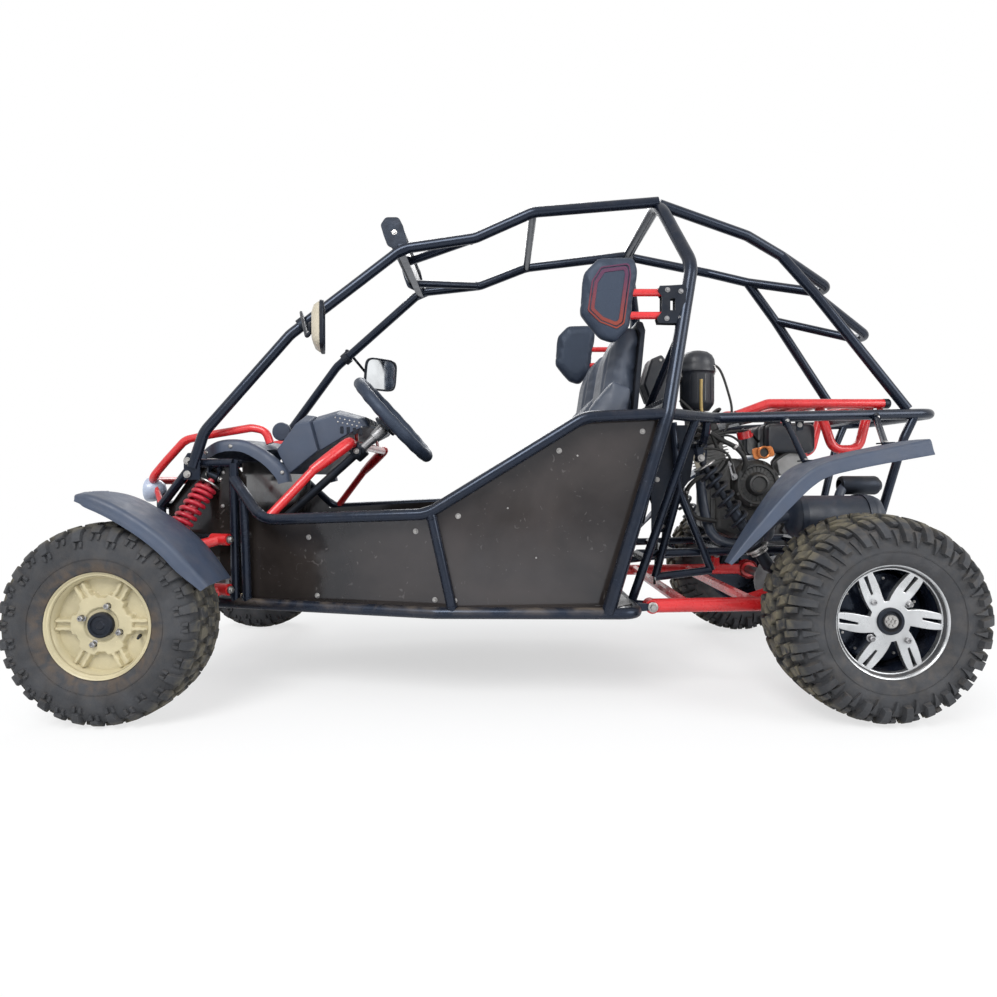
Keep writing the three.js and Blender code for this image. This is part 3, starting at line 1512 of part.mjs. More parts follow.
for (const side of SIDES) {
  const name = NAME[side];
  part(`side_frame_${name}`, sideFrame(side), 'black');
  part(`front_panel_${name}`, sidePanel(side, FRONT_PANEL), 'panel');
  part(`rear_panel_${name}`, sidePanel(side, REAR_PANEL), 'panel');
  part(`seat_${name}`, seat(side), 'vinyl');
  part(`shoulder_guard_${name}`, shoulderGuard(side), 'vinyl');
  part(`headlight_${name}`, headlight(side), 'lamp');
  part(`mirror_${name}`, mirror(side), 'cream');
  part(`front_shock_${name}`, frontShock(side).shape, 'red');
  part(`rear_shock_${name}`, rearShock(side).shape, 'black');
  part(`upper_arm_${name}`, suspensionArm(side, true), 'red');
  part(`lower_arm_${name}`, suspensionArm(side, false), 'red');
  part(`knuckle_${name}`, knuckle(side), 'steel');
  part(`front_fender_${name}`, frontFender(side), 'plastic');
  part(`rear_fender_${name}`, rearFender(side), 'plastic');
  placeWheel(`front_rim_${name}`, wheelRim(FRONT_RIM), 'cream', FRONT_AXLE_X, FRONT_WHEEL, side);
  placeWheel(`front_tyre_${name}`, tyre(FRONT_WHEEL), 'tyre', FRONT_AXLE_X, FRONT_WHEEL, side);
  placeWheel(`rear_rim_${name}`, wheelRim(REAR_RIM), 'alloy', REAR_AXLE_X, REAR_WHEEL, side);
  placeWheel(`rear_tyre_${name}`, tyre(REAR_WHEEL), 'tyre', REAR_AXLE_X, REAR_WHEEL, side);
}

export default model;
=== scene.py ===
"""Off-road go-kart: looks, camera, light and fine pieces over the plain solids.

Sizes and places are the drawing's millimetres, X forward, Y left, Z up. at() and mm() turn them into
the frame's metres.
"""

import json
import math

import bmesh
import bpy
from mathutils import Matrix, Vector

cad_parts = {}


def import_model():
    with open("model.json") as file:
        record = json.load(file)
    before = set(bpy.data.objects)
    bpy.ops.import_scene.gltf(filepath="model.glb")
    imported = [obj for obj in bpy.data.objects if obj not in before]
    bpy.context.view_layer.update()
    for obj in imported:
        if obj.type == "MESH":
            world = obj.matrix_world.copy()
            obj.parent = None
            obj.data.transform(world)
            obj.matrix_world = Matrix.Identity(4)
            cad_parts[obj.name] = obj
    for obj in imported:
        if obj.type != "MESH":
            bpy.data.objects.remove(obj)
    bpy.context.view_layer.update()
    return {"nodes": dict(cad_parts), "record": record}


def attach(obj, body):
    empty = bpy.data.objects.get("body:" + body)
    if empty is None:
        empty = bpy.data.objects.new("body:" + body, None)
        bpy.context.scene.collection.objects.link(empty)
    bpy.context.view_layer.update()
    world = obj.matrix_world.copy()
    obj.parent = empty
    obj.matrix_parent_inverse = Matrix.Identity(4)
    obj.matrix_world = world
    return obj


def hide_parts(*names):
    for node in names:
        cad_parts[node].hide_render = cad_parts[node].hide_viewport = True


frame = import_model()
SIDES = {"left": 1, "right": -1}

# ---------------------------------------------------------------- looks


def feed(tree, socket, value):
    """Gives an input socket a number, a colour or another node's output."""
    if isinstance(value, bpy.types.NodeSocket):
        tree.links.new(value, socket)
    else:
        socket.default_value = value


def node(tree, kind, inputs=None, **attributes):
    """A shader node."""
    made = tree.nodes.new("ShaderNode" + kind)
    for name, value in attributes.items():
        setattr(made, name, value)
    for key, value in (inputs or {}).items():
        feed(tree, made.inputs[key], value)
    return made


def noise(tree, scale, detail=4.0, distortion=0.0):
    place = node(tree, "TexCoord").outputs["Object"]
    settings = {"Vector": place, "Scale": scale, "Detail": detail, "Distortion": distortion}
    return node(tree, "TexNoise", settings).outputs["Fac"]


def span(tree, value, low, high, start=0.0, end=1.0):
    """A value mapped from low..high to start..end, held at both ends."""
    settings = {"Value": value, "From Min": low, "From Max": high, "To Min": start, "To Max": end}
    return node(tree, "MapRange", settings).outputs["Result"]


def math_node(tree, kind, first, second):
    return node(tree, "Math", {0: first, 1: second}, operation=kind).outputs[0]


def mix_colours(tree, share, first, second):
    colours = [(*c, 1.0) if isinstance(c, tuple) else c for c in (first, second)]
    return node(tree, "Mix", {0: share, 6: colours[0], 7: colours[1]}, data_type="RGBA").outputs[2]


def height_share(tree, low, high):
    """0 below a height and 1 above another, in metres."""
    place = node(tree, "SeparateXYZ", {"Vector": node(tree, "TexCoord").outputs["Object"]})
    return span(tree, place.outputs["Z"], low, high)


DUST = (0.30, 0.235, 0.165)
SLOT = {}


def look(name, slot, colour, rough, metal=0.0, shade=0.75, patch=9.0, grain=(260, 0.4), dust=0.0, coat=0.0,
         specular=0.5, scuff=0.0, tint=(1.0, 1.0, 1.0)):
    """A material whose colour and roughness drift in patches, with a fine grain and settled dust.

    slot is the record's slot for its pieces; it is kept in SLOT but given to no piece. shade darkens the
    patches, grain is (scale, height in mm), dust is how much lies on upward faces.
    """
    material = bpy.data.materials.new(name)
    SLOT[material.name] = slot
    material.use_nodes = True
    tree = material.node_tree
    shader = tree.nodes["Principled BSDF"]
    fixed = {"Metallic": metal, "Coat Weight": coat, "Coat Roughness": 0.06, "Specular IOR Level": specular,
             "Specular Tint": (*tint, 1.0)}
    for socket, value in fixed.items():
        shader.inputs[socket].default_value = value
    patches = noise(tree, patch, 5.0, 0.4)
    dark = tuple(c * shade for c in colour)
    painted = mix_colours(tree, span(tree, patches, 0.35, 0.65), dark, colour)
    roughness = span(tree, noise(tree, patch * 4.0, 6.0), 0.3, 0.7, *rough)
    if scuff:
        streaks = span(tree, noise(tree, patch * 11.0, 8.0, 2.5), 0.66, 0.72, 0.0, scuff)
        worn = tuple(min(1.0, c * 1.6 + 0.09) for c in colour)
        painted = mix_colours(tree, streaks, painted, worn)
    if dust:
        up = node(tree, "SeparateXYZ", {"Vector": node(tree, "NewGeometry").outputs["Normal"]})
        facing = span(tree, up.outputs["Z"], -0.3, 0.9, 0.12, 1.0)
        spread = span(tree, noise(tree, patch * 2.3, 7.0, 0.8), 0.42, 0.72, 0.0, dust)
        settled = math_node(tree, "MULTIPLY", facing, spread)
        painted = mix_colours(tree, settled, painted, DUST)
        lifted = math_node(tree, "MULTIPLY", settled, 0.5)
        roughness = math_node(tree, "ADD", roughness, lifted)
    height = noise(tree, grain[0], 3.0)
    bump = node(tree, "Bump", {"Height": height, "Distance": grain[1] / 1000, "Strength": 1.0})
    feed(tree, shader.inputs["Base Color"], painted)
    feed(tree, shader.inputs["Roughness"], roughness)
    feed(tree, shader.inputs["Normal"], bump.outputs["Normal"])
    return material


NAVY = (0.62, 0.75, 1.0)
BLACK = look("gloss_black", "black", (0.0065, 0.009, 0.0165), (0.16, 0.30), coat=0.08, dust=0.05,
             grain=(45, 0.06), specular=0.36, tint=NAVY)
DUSTY_BLACK = look("dusty_black", "black", (0.008, 0.010, 0.017), (0.18, 0.34), dust=0.35, patch=5.0,
                   grain=(45, 0.06), specular=0.45, tint=NAVY)
SATIN = look("satin_black", "black", (0.010, 0.011, 0.014), (0.35, 0.55), dust=0.08, specular=0.3, tint=NAVY)
HOSE = look("hose", "black", (0.012, 0.012, 0.012), (0.5, 0.65))
# The panels' brownish colour and their large dark patches are painted reflections on a gloss black sheet; the
# scuffs are wear.
PANEL = look("panel_black_painted_reflections", "panel", (0.034, 0.028, 0.026), (0.08, 0.24), shade=0.30, patch=2.6, coat=0.2,
             dust=0.05, grain=(14, 0.6), specular=0.4, scuff=0.35, tint=(0.85, 0.9, 1.0))
RED = look("red_paint", "red", (0.62, 0.018, 0.022), (0.2, 0.38), shade=0.8, coat=0.4, dust=0.05, scuff=0.25)
SPRING_RED = look("spring_red", "red", (0.42, 0.012, 0.03), (0.25, 0.45), shade=0.6, dust=0.08, scuff=0.4)
PLASTIC = look("moulded_plastic", "plastic", (0.041, 0.058, 0.096), (0.42, 0.6), shade=0.85, dust=0.08,
               grain=(420, 0.3))
PLASTIC_DARK = look("dark_plastic", "plastic", (0.014, 0.017, 0.024), (0.3, 0.5), dust=0.08)
LAMP_SHELL = look("lamp_shell", "plastic", (0.42, 0.48, 0.60), (0.2, 0.35), shade=0.8, coat=0.3)
CREAM = look("cream_paint", "cream", (0.51, 0.45, 0.285), (0.28, 0.45), shade=0.78, dust=0.25, scuff=0.3)
BEIGE = look("beige_shell", "cream", (0.50, 0.45, 0.35), (0.35, 0.5), shade=0.85, grain=(160, 0.08))
YELLOW = look("yellow_tube", "cream", (0.52, 0.37, 0.13), (0.4, 0.55), shade=0.7)
ALLOY = look("machined_alloy", "alloy", (0.55, 0.56, 0.57), (0.22, 0.4), metal=0.9, dust=0.1)
GLASS = look("mirror_glass", "alloy", (0.85, 0.88, 0.9), (0.03, 0.06), metal=1.0, grain=(5, 0.1))
STEEL = look("bare_steel", "steel", (0.34, 0.34, 0.35), (0.3, 0.5), metal=0.9, dust=0.12)
ZINC = look("zinc_bolt", "steel", (0.42, 0.41, 0.40), (0.25, 0.4), metal=0.85, patch=40.0)
COPPER = look("copper", "steel", (0.55, 0.19, 0.06), (0.3, 0.5), metal=0.7)
RUBBER = look("tyre_rubber", "tyre", (0.028, 0.027, 0.026), (0.7, 0.9), shade=0.7, patch=14.0, dust=0.22,
              grain=(180, 0.8), specular=0.3)
VINYL = look("vinyl", "vinyl", (0.019, 0.026, 0.043), (0.42, 0.60), shade=0.8, grain=(520, 0.5),
             tint=(0.7, 0.82, 1.0))
SEAT_VINYL = look("seat_vinyl", "vinyl", (0.046, 0.058, 0.084), (0.42, 0.60), shade=0.8, grain=(520, 0.5))
LENS = look("lamp_lens", "lamp", (0.55, 0.62, 0.72), (0.05, 0.12), metal=0.3, patch=60.0, coat=0.8,
            grain=(160, 1.0))
ENGINE = look("engine_black", "engine", (0.020, 0.021, 0.022), (0.35, 0.55), dust=0.15, grain=(160, 0.6))
CASING = look("engine_casting", "engine", (0.30, 0.30, 0.30), (0.4, 0.55), metal=0.6, dust=0.2,
              grain=(220, 0.7))
EXHAUST = look("exhaust_paint", "engine", (0.030, 0.042, 0.068), (0.38, 0.6), shade=0.7, dust=0.10, scuff=0.3)

SOLID_LOOKS = {
    "black": BLACK, "red": RED, "plastic": PLASTIC, "panel": PANEL, "cream": CREAM, "alloy": ALLOY,
    "steel": STEEL, "tyre": RUBBER, "vinyl": VINYL, "lamp": SATIN, "engine": ENGINE,
}
for subpart in frame["record"]["subparts"]:
    solid = frame["nodes"][subpart["node"]].data
    solid.materials.clear()
    solid.materials.append(SOLID_LOOKS[subpart["material_slot"]])
    solid.shade_smooth()
    solid.set_sharp_from_angle(angle=math.radians(61))


def repainted(material, share, colour):
    """The material with a second colour laid over its own by a share."""
    tree = material.node_tree
    base = tree.nodes["Principled BSDF"].inputs["Base Color"]
    painted = base.links[0].from_socket
    feed(tree, base, mix_colours(tree, share, painted, colour))


def tyre_look(name, wheel, dusty):
    """Rubber with a brown ring of dust by the rim and dust on the tops of the lugs."""
    material = look(name, "tyre", (0.052, 0.054, 0.059), (0.66, 0.88), shade=0.7, patch=16.0,
                    dust=dusty * 0.22, grain=(240, 0.6), specular=0.25)
    tree = material.node_tree
    flat = node(tree, "VectorMath", {0: node(tree, "TexCoord").outputs["Object"], 1: (1, 0, 1)},
                operation="MULTIPLY")
    radius = node(tree, "VectorMath", {0: flat.outputs[0]}, operation="LENGTH").outputs["Value"]
    broken = span(tree, noise(tree, 38.0, 6.0, 0.6), 0.36, 0.62)
    bead, outside = wheel["bead"] / 1000, wheel["radius"] / 1000
    ring = span(tree, radius, bead + 0.012, bead + 0.06, wheel["brown"], 0.0)
    repainted(material, math_node(tree, "MULTIPLY", ring, broken), (0.13, 0.090, 0.058))
    tops = span(tree, radius, outside - 0.020, outside - 0.004, 0.0, dusty)
    repainted(material, math_node(tree, "MULTIPLY", tops, broken), (0.21, 0.185, 0.125))
    return material


def inlay_look():
    """Purple at the top that turns to orange-red at the bottom."""
    material = look("inlay", "red", (0.20, 0.035, 0.022), (0.4, 0.6), grain=(300, 0.4), specular=0.3)
    repainted(material, height_share(material.node_tree, 1.09, 1.22), (0.075, 0.022, 0.055))
    return material


# ---------------------------------------------------------------- camera, light and floor

EYE = (0.062, 2.458, 0.645)
SENSOR, FOCAL = 36.0, 25.1675  # mm
SHIFT = (-0.0015045, -0.0205617)  # shares of the sensor's width


def added(name, data):
    """A new object in the scene."""
    made = bpy.data.objects.new(name, data)
    bpy.context.scene.collection.objects.link(made)
    return made


def camera():
    data = bpy.data.cameras.new("camera")
    data.sensor_width = SENSOR
    data.lens = FOCAL
    data.shift_x, data.shift_y = SHIFT
    data.clip_end = 60
    made = added("camera", data)
    made.location = EYE
    made.rotation_euler = (math.pi / 2, 0, math.pi)
    bpy.context.scene.camera = made


def lamp(name, place, aim_z, power):
    data = bpy.data.lights.new(name, "AREA")
    data.shape = "DISK"
    data.size = 3.0
    data.energy = power
    made = added(name, data)
    made.location = place
    made.rotation_euler = (Vector((0, 0, aim_z)) - Vector(place)).to_track_quat("-Z", "Y").to_euler()


def world():
    """Soft light, and plain white for camera, glossy and transmission rays."""
    made = bpy.data.worlds.new("studio")
    made.use_nodes = True
    tree = made.node_tree
    plain = tree.nodes["Background"]
    plain.inputs["Color"].default_value = (0.93, 0.96, 1.0, 1)
    plain.inputs["Strength"].default_value = 0.55
    rays = node(tree, "LightPath").outputs
    seen = math_node(tree, "MAXIMUM", rays["Is Camera Ray"], rays["Is Glossy Ray"])
    seen = math_node(tree, "MAXIMUM", seen, rays["Is Transmission Ray"])
    white = node(tree, "Background", {"Color": (1, 1, 1, 1), "Strength": 1.0})
    both = node(tree, "MixShader", {0: seen, 1: plain.outputs[0], 2: white.outputs[0]})
    feed(tree, tree.nodes["World Output"].inputs["Surface"], both.outputs[0])
    bpy.context.scene.world = made


def floor():
    """A pale floor that fades to white away from the kart and keeps its shadow."""
    size = 30.0
    mesh = bpy.data.meshes.new("floor")
    corners = [(-size, -size, 0), (size, -size, 0), (size, size, 0), (-size, size, 0)]
    mesh.from_pydata(corners, [], [(0, 1, 2, 3)])
    material = bpy.data.materials.new("pale_floor")
    material.use_nodes = True
    tree = material.node_tree
    shader = tree.nodes["Principled BSDF"]
    settings = {"Base Color": (0.92, 0.92, 0.92, 1), "Roughness": 0.95, "Specular IOR Level": 0.0}
    for socket, value in settings.items():
        shader.inputs[socket].default_value = value
    place = node(tree, "SeparateXYZ", {"Vector": node(tree, "TexCoord").outputs["Object"]}).outputs
    along = math_node(tree, "MULTIPLY", place["X"], 0.62)
    squares = [math_node(tree, "MULTIPLY", v, v) for v in (along, place["Y"])]
    distance = math_node(tree, "SQRT", math_node(tree, "ADD", *squares), 0.0)
    seen = node(tree, "LightPath").outputs["Is Camera Ray"]
    share = math_node(tree, "MULTIPLY", seen, span(tree, distance, 0.55, 1.7, 0.6, 1.0))
    white = node(tree, "Emission", {"Color": (1, 1, 1, 1), "Strength": 1.0})
    both = node(tree, "MixShader", {0: share, 1: shader.outputs[0], 2: white.outputs[0]})
    feed(tree, tree.nodes["Material Output"].inputs["Surface"], both.outputs[0])
    mesh.materials.append(material)
    added("floor", mesh)


camera()
world()
floor()
lamp("key", (1.5, 4.5, 4.2), 0.5, 260)
lamp("fill", (-4.0, 3.0, 2.2), 0.6, 110)
lamp("back", (0.5, -4.5, 4.0), 0.6, 120)
bpy.context.scene.view_settings.view_transform = "Standard"

# ---------------------------------------------------------------- places and outlines

MIDDLE_X = 20  # the frame's origin is at this station of the drawing


def mm(x, y, z):
    return Vector((x / 1000, y / 1000, z / 1000))


def at(x, y, z, side=1):
    """A place in the frame, from the drawing's station, half width and height."""
    return Vector(((x - MIDDLE_X) / 1000, side * y / 1000, z / 1000))


def turns(count, start=0.0):
    """Angles evenly round a circle."""
    return [start + 2 * math.pi * i / count for i in range(count)]


def frame_of(axis):
    """Two directions across an axis."""
    helper = Vector((0, 1, 0)) if abs(axis.y) < 0.9 else Vector((1, 0, 0))
    across = axis.cross(helper).normalized()
    return across, axis.cross(across)


def arc(before, corner, after, radius, limit, steps):
    """Places on the curve that rounds one corner."""
    back, ahead = before - corner, after - corner
    cut = min(radius / math.tan(back.angle(ahead) / 2), back.length * limit, ahead.length * limit)
    start, end = corner + back.normalized() * cut, corner + ahead.normalized() * cut
    shares = [i / steps for i in range(steps + 1)]
    return [(1 - t) ** 2 * start + 2 * t * (1 - t) * corner + t * t * end for t in shares]


def rounded(route, radius):
    """The route with each corner turned into a curve."""
    places = [route[0].copy()]
    for before, corner, after in zip(route, route[1:], route[2:]):
        straight = math.pi - (before - corner).angle(after - corner) < 0.04
        places += [corner.copy()] if straight else arc(before, corner, after, radius / 1000, 0.48, 7)
    places.append(route[-1].copy())
    return places


def rounded_outline(outline, radius):
    """The closed outline of (x, z) with its corners turned into curves."""
    corners = [Vector(p) for p in outline]
    points = []
    for before, corner, after in zip(corners[-1:] + corners, corners, corners[1:] + corners[:1]):
        points += [tuple(p) for p in arc(before, corner, after, radius, 0.45, 5)]
    return points


def shrunk(outline, inset):
    """The outline of (x, z) moved inwards by an inset, corner by corner."""
    edges = list(zip(outline, outline[1:] + outline[:1]))
    hand = 1 if sum(a[0] * b[1] - b[0] * a[1] for a, b in edges) > 0 else -1
    lines = []
    for (x0, z0), (x1, z1) in edges:
        length = math.hypot(x1 - x0, z1 - z0)
        shift_x, shift_z = -(z1 - z0) / length * hand * inset, (x1 - x0) / length * hand * inset
        lines.append((x0 + shift_x, z0 + shift_z, x1 - x0, z1 - z0))
    corners = []
    for (x0, z0, dx0, dz0), (x1, z1, dx1, dz1) in zip(lines[-1:] + lines, lines):
        t = ((x1 - x0) * dz1 - (z1 - z0) * dx1) / (dx0 * dz1 - dz0 * dx1)
        corners.append((x0 + dx0 * t, z0 + dz0 * t))
    return corners


def smooth_curve(points, steps=8):
    """A Catmull-Rom curve through the points, which are tuples or vectors of any length."""
    rows = [Vector(p) for p in points]
    rows = [2 * rows[0] - rows[1]] + rows + [2 * rows[-1] - rows[-2]]
    curve = []
    for a, b, c, d in zip(rows, rows[1:], rows[2:], rows[3:]):
        for i in range(steps):
            t = i / steps
            curve.append(0.5 * (2 * b + (c - a) * t + (2 * a - 5 * b + 4 * c - d) * t * t
                                + (3 * b - a - 3 * c + d) * t ** 3))
    curve.append(rows[-2].copy())
    return curve


def smooth_route(points):
    """A smooth run of places through stations of (x, y, z)."""
    return [at(*p) for p in smooth_curve(points, 6)]


def one_side(table, side):
    return [at(x, y, z, side) for x, y, z in table]


def both_sides(table):
    return one_side(table, 1) + one_side(table, -1)[::-1]


def crossing(table, station, side=1):
    """The place on a route at a station of the drawing."""
    x = (station - MIDDLE_X) / 1000
    for a, b in zip(one_side(table, side), one_side(table[1:], side)):
        if min(a.x, b.x) <= x <= max(a.x, b.x) and a.x != b.x:
            return a.lerp(b, (x - a.x) / (b.x - a.x))
    raise ValueError(f"no station {station}")


def step_up(value, edge, width):
    """A soft step from 0 to 1 as value passes edge."""
    t = max(0.0, min(1.0, (value - edge) / width + 0.5))
    return t * t * (3 - 2 * t)


# ---------------------------------------------------------------- shapes


class Shape:
    """Vertices and faces gathered from several simple solids."""

    def __init__(self):
        self.vertices = []
        self.faces = []

    def add(self, vertices, faces):
        start = len(self.vertices)
        self.vertices += [Vector(v) for v in vertices]
        self.faces += [tuple(start + i for i in face) for face in faces]
        return self

    def rings(self, rings, closed=True, capped=True):
        """A skin over rings of equal count."""
        count = len(rings[0])
        faces = []
        for i in range(len(rings) - 1):
            for j in range(count if closed else count - 1):
                k = (j + 1) % count
                faces.append((i * count + j, i * count + k, (i + 1) * count + k, (i + 1) * count + j))
        if capped:
            last = (len(rings) - 1) * count
            faces.append(tuple(range(count)))
            faces.append(tuple(range(last, last + count)))
        return self.add([v for ring in rings for v in ring], faces)

    def pipe(self, route, radius, sides=20):
        """A round tube along a route of close places."""
        rings = []
        across = None
        for i, place in enumerate(route):
            ahead = (route[min(i + 1, len(route) - 1)] - route[max(i - 1, 0)]).normalized()
            if across is None:
                helper = Vector((0, 0, 1)) if abs(ahead.z) < 0.9 else Vector((1, 0, 0))
                across = ahead.cross(helper)
            across = (across - ahead * across.dot(ahead)).normalized()
            up = ahead.cross(across)
            rings.append([
                place + radius / 1000 * (across * math.cos(a) + up * math.sin(a)) for a in turns(sides)
            ])
        return self.rings(rings)

    def lathe(self, profile, place=(0, 0, 0), axis=(0, 1, 0), sides=48, capped=True):
        """profile is (distance along the axis, radius). Ends on the axis close themselves."""
        axis = Vector(axis).normalized()
        helper = Vector((0, 0, 1)) if abs(axis.z) < 0.9 else Vector((1, 0, 0))
        across = axis.cross(helper).normalized()
        up = axis.cross(across)
        rings = []
        for along, radius in profile:
            middle, reach = Vector(place) + axis * along / 1000, max(radius / 1000, 1e-5)
            rings.append([middle + reach * (across * math.cos(a) + up * math.sin(a)) for a in turns(sides)])
        return self.rings(rings, capped=capped)

    def collar(self, half, inner, outer, place, axis, sides=28, capped=True):
        """A plain ring that reaches half its length to each side."""
        profile = [(-half, inner), (-half, outer), (half, outer), (half, inner)]
        return self.lathe(profile, place, axis, sides, capped)

    def block(self, low, high):
        (x0, y0, z0), (x1, y1, z1) = low, high
        corners = [(x, y, z) for x in (x0, x1) for y in (y0, y1) for z in (z0, z1)]
        faces = [(0, 1, 3, 2), (4, 6, 7, 5), (0, 4, 5, 1), (2, 3, 7, 6), (0, 2, 6, 4), (1, 5, 7, 3)]
        return self.add(corners, faces)

    def slab(self, outline, thickness):
        """A plate from a flat outline of places, thick to both sides."""
        middle = sum(outline, Vector()) / len(outline)
        normal = Vector()
        for a, b in zip(outline, outline[1:] + outline[:1]):
            normal += (a - middle).cross(b - middle)
        step = normal.normalized() * thickness / 2000
        return self.rings([[v - step for v in outline], [v + step for v in outline]])

    def cast(self, outline, levels, hand=1, corner=0):
        """An outline of (x, z) swept sideways through levels of (y, inset), its corners rounded."""
        rings = []
        for y, inset in levels:
            line = shrunk(outline, inset) if inset else outline
            line = rounded_outline(line, corner) if corner else line
            rings.append([at(x, y, z, hand) for x, z in line])
        return self.rings(rings)

    def plate(self, outline, low_y, high_y, hand=1, corner=0):
        return self.cast(outline, ((low_y, 0), (high_y, 0)), hand, corner)

    def bolt(self, place, normal, size=7, washer=True):
        """A hexagon head on a round washer."""
        if washer:
            self.lathe([(-1, size * 1.5), (0.8, size * 1.5), (1.6, size * 1.35)], place, normal, 20)
        top = size * 0.95
        return self.lathe([(0, size), (top * 0.8, size), (top, size * 0.82), (top, 0)], place, normal, 6)

    def button(self, place, normal, size=6):
        """A round bolt head."""
        profile = [(-1, size), (size * 0.25, size), (size * 0.55, size * 0.7), (size * 0.65, 0)]
        return self.lathe(profile, place, normal, 20)

    def mesh(self, name):
        """The gathered faces as one mesh, all facing outwards."""
        made = bpy.data.meshes.new(name)
        made.from_pydata([tuple(v) for v in self.vertices], [], self.faces)
        clean = bmesh.new()
        clean.from_mesh(made)
        bmesh.ops.recalc_face_normals(clean, faces=clean.faces)
        clean.to_mesh(made)
        clean.free()
        return made

    def put(self, name, material, slot=None, body="chassis", sharp=35, bevel=0, replaces=None,
            origin=(0, 0, 0)):
        """Makes the piece: it rides on a body and may stand in for one of the solids."""
        mesh = self.mesh(name)
        mesh.materials.append(material)
        mesh.shade_smooth()
        mesh.set_sharp_from_angle(angle=math.radians(sharp))
        made = added(name, mesh)
        made.location = origin
        if bevel:
            edge = made.modifiers.new("bevel", "BEVEL")
            edge.width = bevel / 1000
            edge.segments = 2
            edge.limit_method = "ANGLE"
            edge.angle_limit = math.radians(35)
            edge.harden_normals = True
        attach(made, body)
        slot or SLOT[material.name]
        if replaces:
            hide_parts(replaces)


def bolted(name, places, normal, size, material=ZINC, kind=Shape.bolt, **settings):
    """A piece with one bolt or button at each place."""
    made = Shape()
    for place in places:
        kind(made, place, normal, size)
    made.put(name, material, **settings)


def turned(name, material, profile, place, axis, sides=48, capped=True, **settings):
    """A piece that is one profile turned round an axis."""
    Shape().lathe(profile, place, axis, sides, capped).put(name, material, **settings)

# ---------------------------------------------------------------- tyres

# Each wheel's station, half track, radius, bead radius, count and height of lugs, and shares of brown
# dust by the rim and of dust on the lugs. Sections are (radius, half width) from the bead to the crown.
FRONT = {
    "station": 1113, "y": 600, "radius": 265, "bead": 127, "lugs": 32, "lug": 11,
    "brown": 0.6, "dusty": 0.5,
    "section": [
        (127.5, 64), (138, 74), (152, 81.5), (175, 87.5), (200, 88.5), (222, 85.5), (240, 77), (249, 62),
        (252.5, 40), (254, 0),
    ],
}
REAR = {
    "station": -926, "y": 565, "radius": 275, "bead": 136, "lugs": 26, "lug": 16,
    "brown": 0.04, "dusty": 0.75,
    "section": [
        (137.5, 96), (148, 108), (165, 117), (190, 122.5), (212, 121.5), (232, 113), (247, 98), (254.5, 75),
        (258, 40), (259, 0),
    ],
}


def wheel_place(wheel, hand):
    return at(wheel["station"], wheel["y"], wheel["radius"], hand)


def spun(radius, across, turn):
    """A place on a wheel, from the wheel's own centre."""
    return mm(radius * math.cos(turn), across, radius * math.sin(turn))


class Carcass:
    """The tyre's skin. Its section runs from the bead to the crown and back, outer side first."""

    def __init__(self, wheel):
        half = smooth_curve([(r, v, 0) for r, v in wheel["section"]], 4)
        self.line = half + [Vector((p.x, -p.y, 0)) for p in reversed(half[:-1])]
        lengths = [0.0]
        for a, b in zip(self.line, self.line[1:]):
            lengths.append(lengths[-1] + (b - a).length)
        self.run = [lengths[len(half) - 1] - s for s in lengths]  # from the crown, outer side positive

    def place(self, s, turn, height):
        """The place at a distance from the crown and a height over the skin."""
        for high, low, a, b in zip(self.run, self.run[1:], self.line, self.line[1:]):
            if high >= s >= low:
                point = a.lerp(b, (high - s) / (high - low))
                step = (b - a).normalized()
                normal = Vector((step.y, -step.x, 0))
                point += normal * math.copysign(height, height * normal.dot(point))
                return spun(point.x, point.y, turn)
        raise ValueError(f"{s} is off the tyre")


def front_rows(odd, hand):
    """Lugs of one pitch: reach from the crown, both edges' turns in pitches, height share, steps."""
    low, high = (101, 64) if odd else (84, 60)
    rows = [((low, high), (-0.22, -0.34), (0.30, 0.34), 1, 4)]
    for s in (-0.17, 0.21):
        rows.append(((low + 16, low + 1), (s - 0.09, s - 0.13), (s + 0.09, s + 0.13), 0.55, 2))
    rows.append(((52, 24), (0.12, 0.02), (0.86, 0.74), 1, 2))
    if hand > 0:
        rows.append(((18, -18), (-0.34, -0.2), (0.3, 0.4), 1, 2))
    return rows


def rear_rows(odd, hand):
    """Lugs of one pitch as above. The inner side's stand half a pitch on."""
    shift = 0 if hand > 0 else 0.5
    rows = [
        ((146 if odd else 138, 86), (-0.20, -0.36), (0.20, 0.10), 1, 5),
        ((108, 74), (0.40, 0.26), (0.70, 0.56), 0.9, 3),
        ((157, 117), (0.49, 0.33), (0.53, 0.72), 0.42, 3),
        ((78, 36), (-0.34, -0.62), (0.12, -0.14), 1, 3),
        ((40, 4), (-0.10, -0.40), (0.34, 0.06), 1, 3),
    ]
    return [(reach, (a + shift, b + shift), (c + shift, d + shift), share, steps)
            for reach, (a, b), (c, d), share, steps in rows]


def lug(shape, carcass, reach, lead, trail, height, steps):
    """A raised block. Its two edges turn from the first angle to the second along the reach."""
    rings = []
    for i in range(steps + 1):
        t = i / steps
        s, first, last = (a + (b - a) * t for a, b in (reach, lead, trail))
        slope = 0.10 * (last - first)
        foot, top = (carcass.place(s, first, -3), carcass.place(s, first + slope, height))
        rings.append([foot, top, carcass.place(s, last - slope, height), carcass.place(s, last, -3)])
    shape.rings(rings)


def tread(carcass, wheel, rows_of):
    """All lugs of a tyre."""
    shape = Shape()
    pitch = 2 * math.pi / wheel["lugs"]
    for i in range(wheel["lugs"]):
        for hand in (1, -1):
            for reach, lead, trail, share, steps in rows_of(i % 2, hand):
                edges = [tuple((i + k) * pitch for k in edge) for edge in (lead, trail)]
                lug(shape, carcass, [hand * s for s in reach], *edges, wheel["lug"] * share, steps)
    return shape


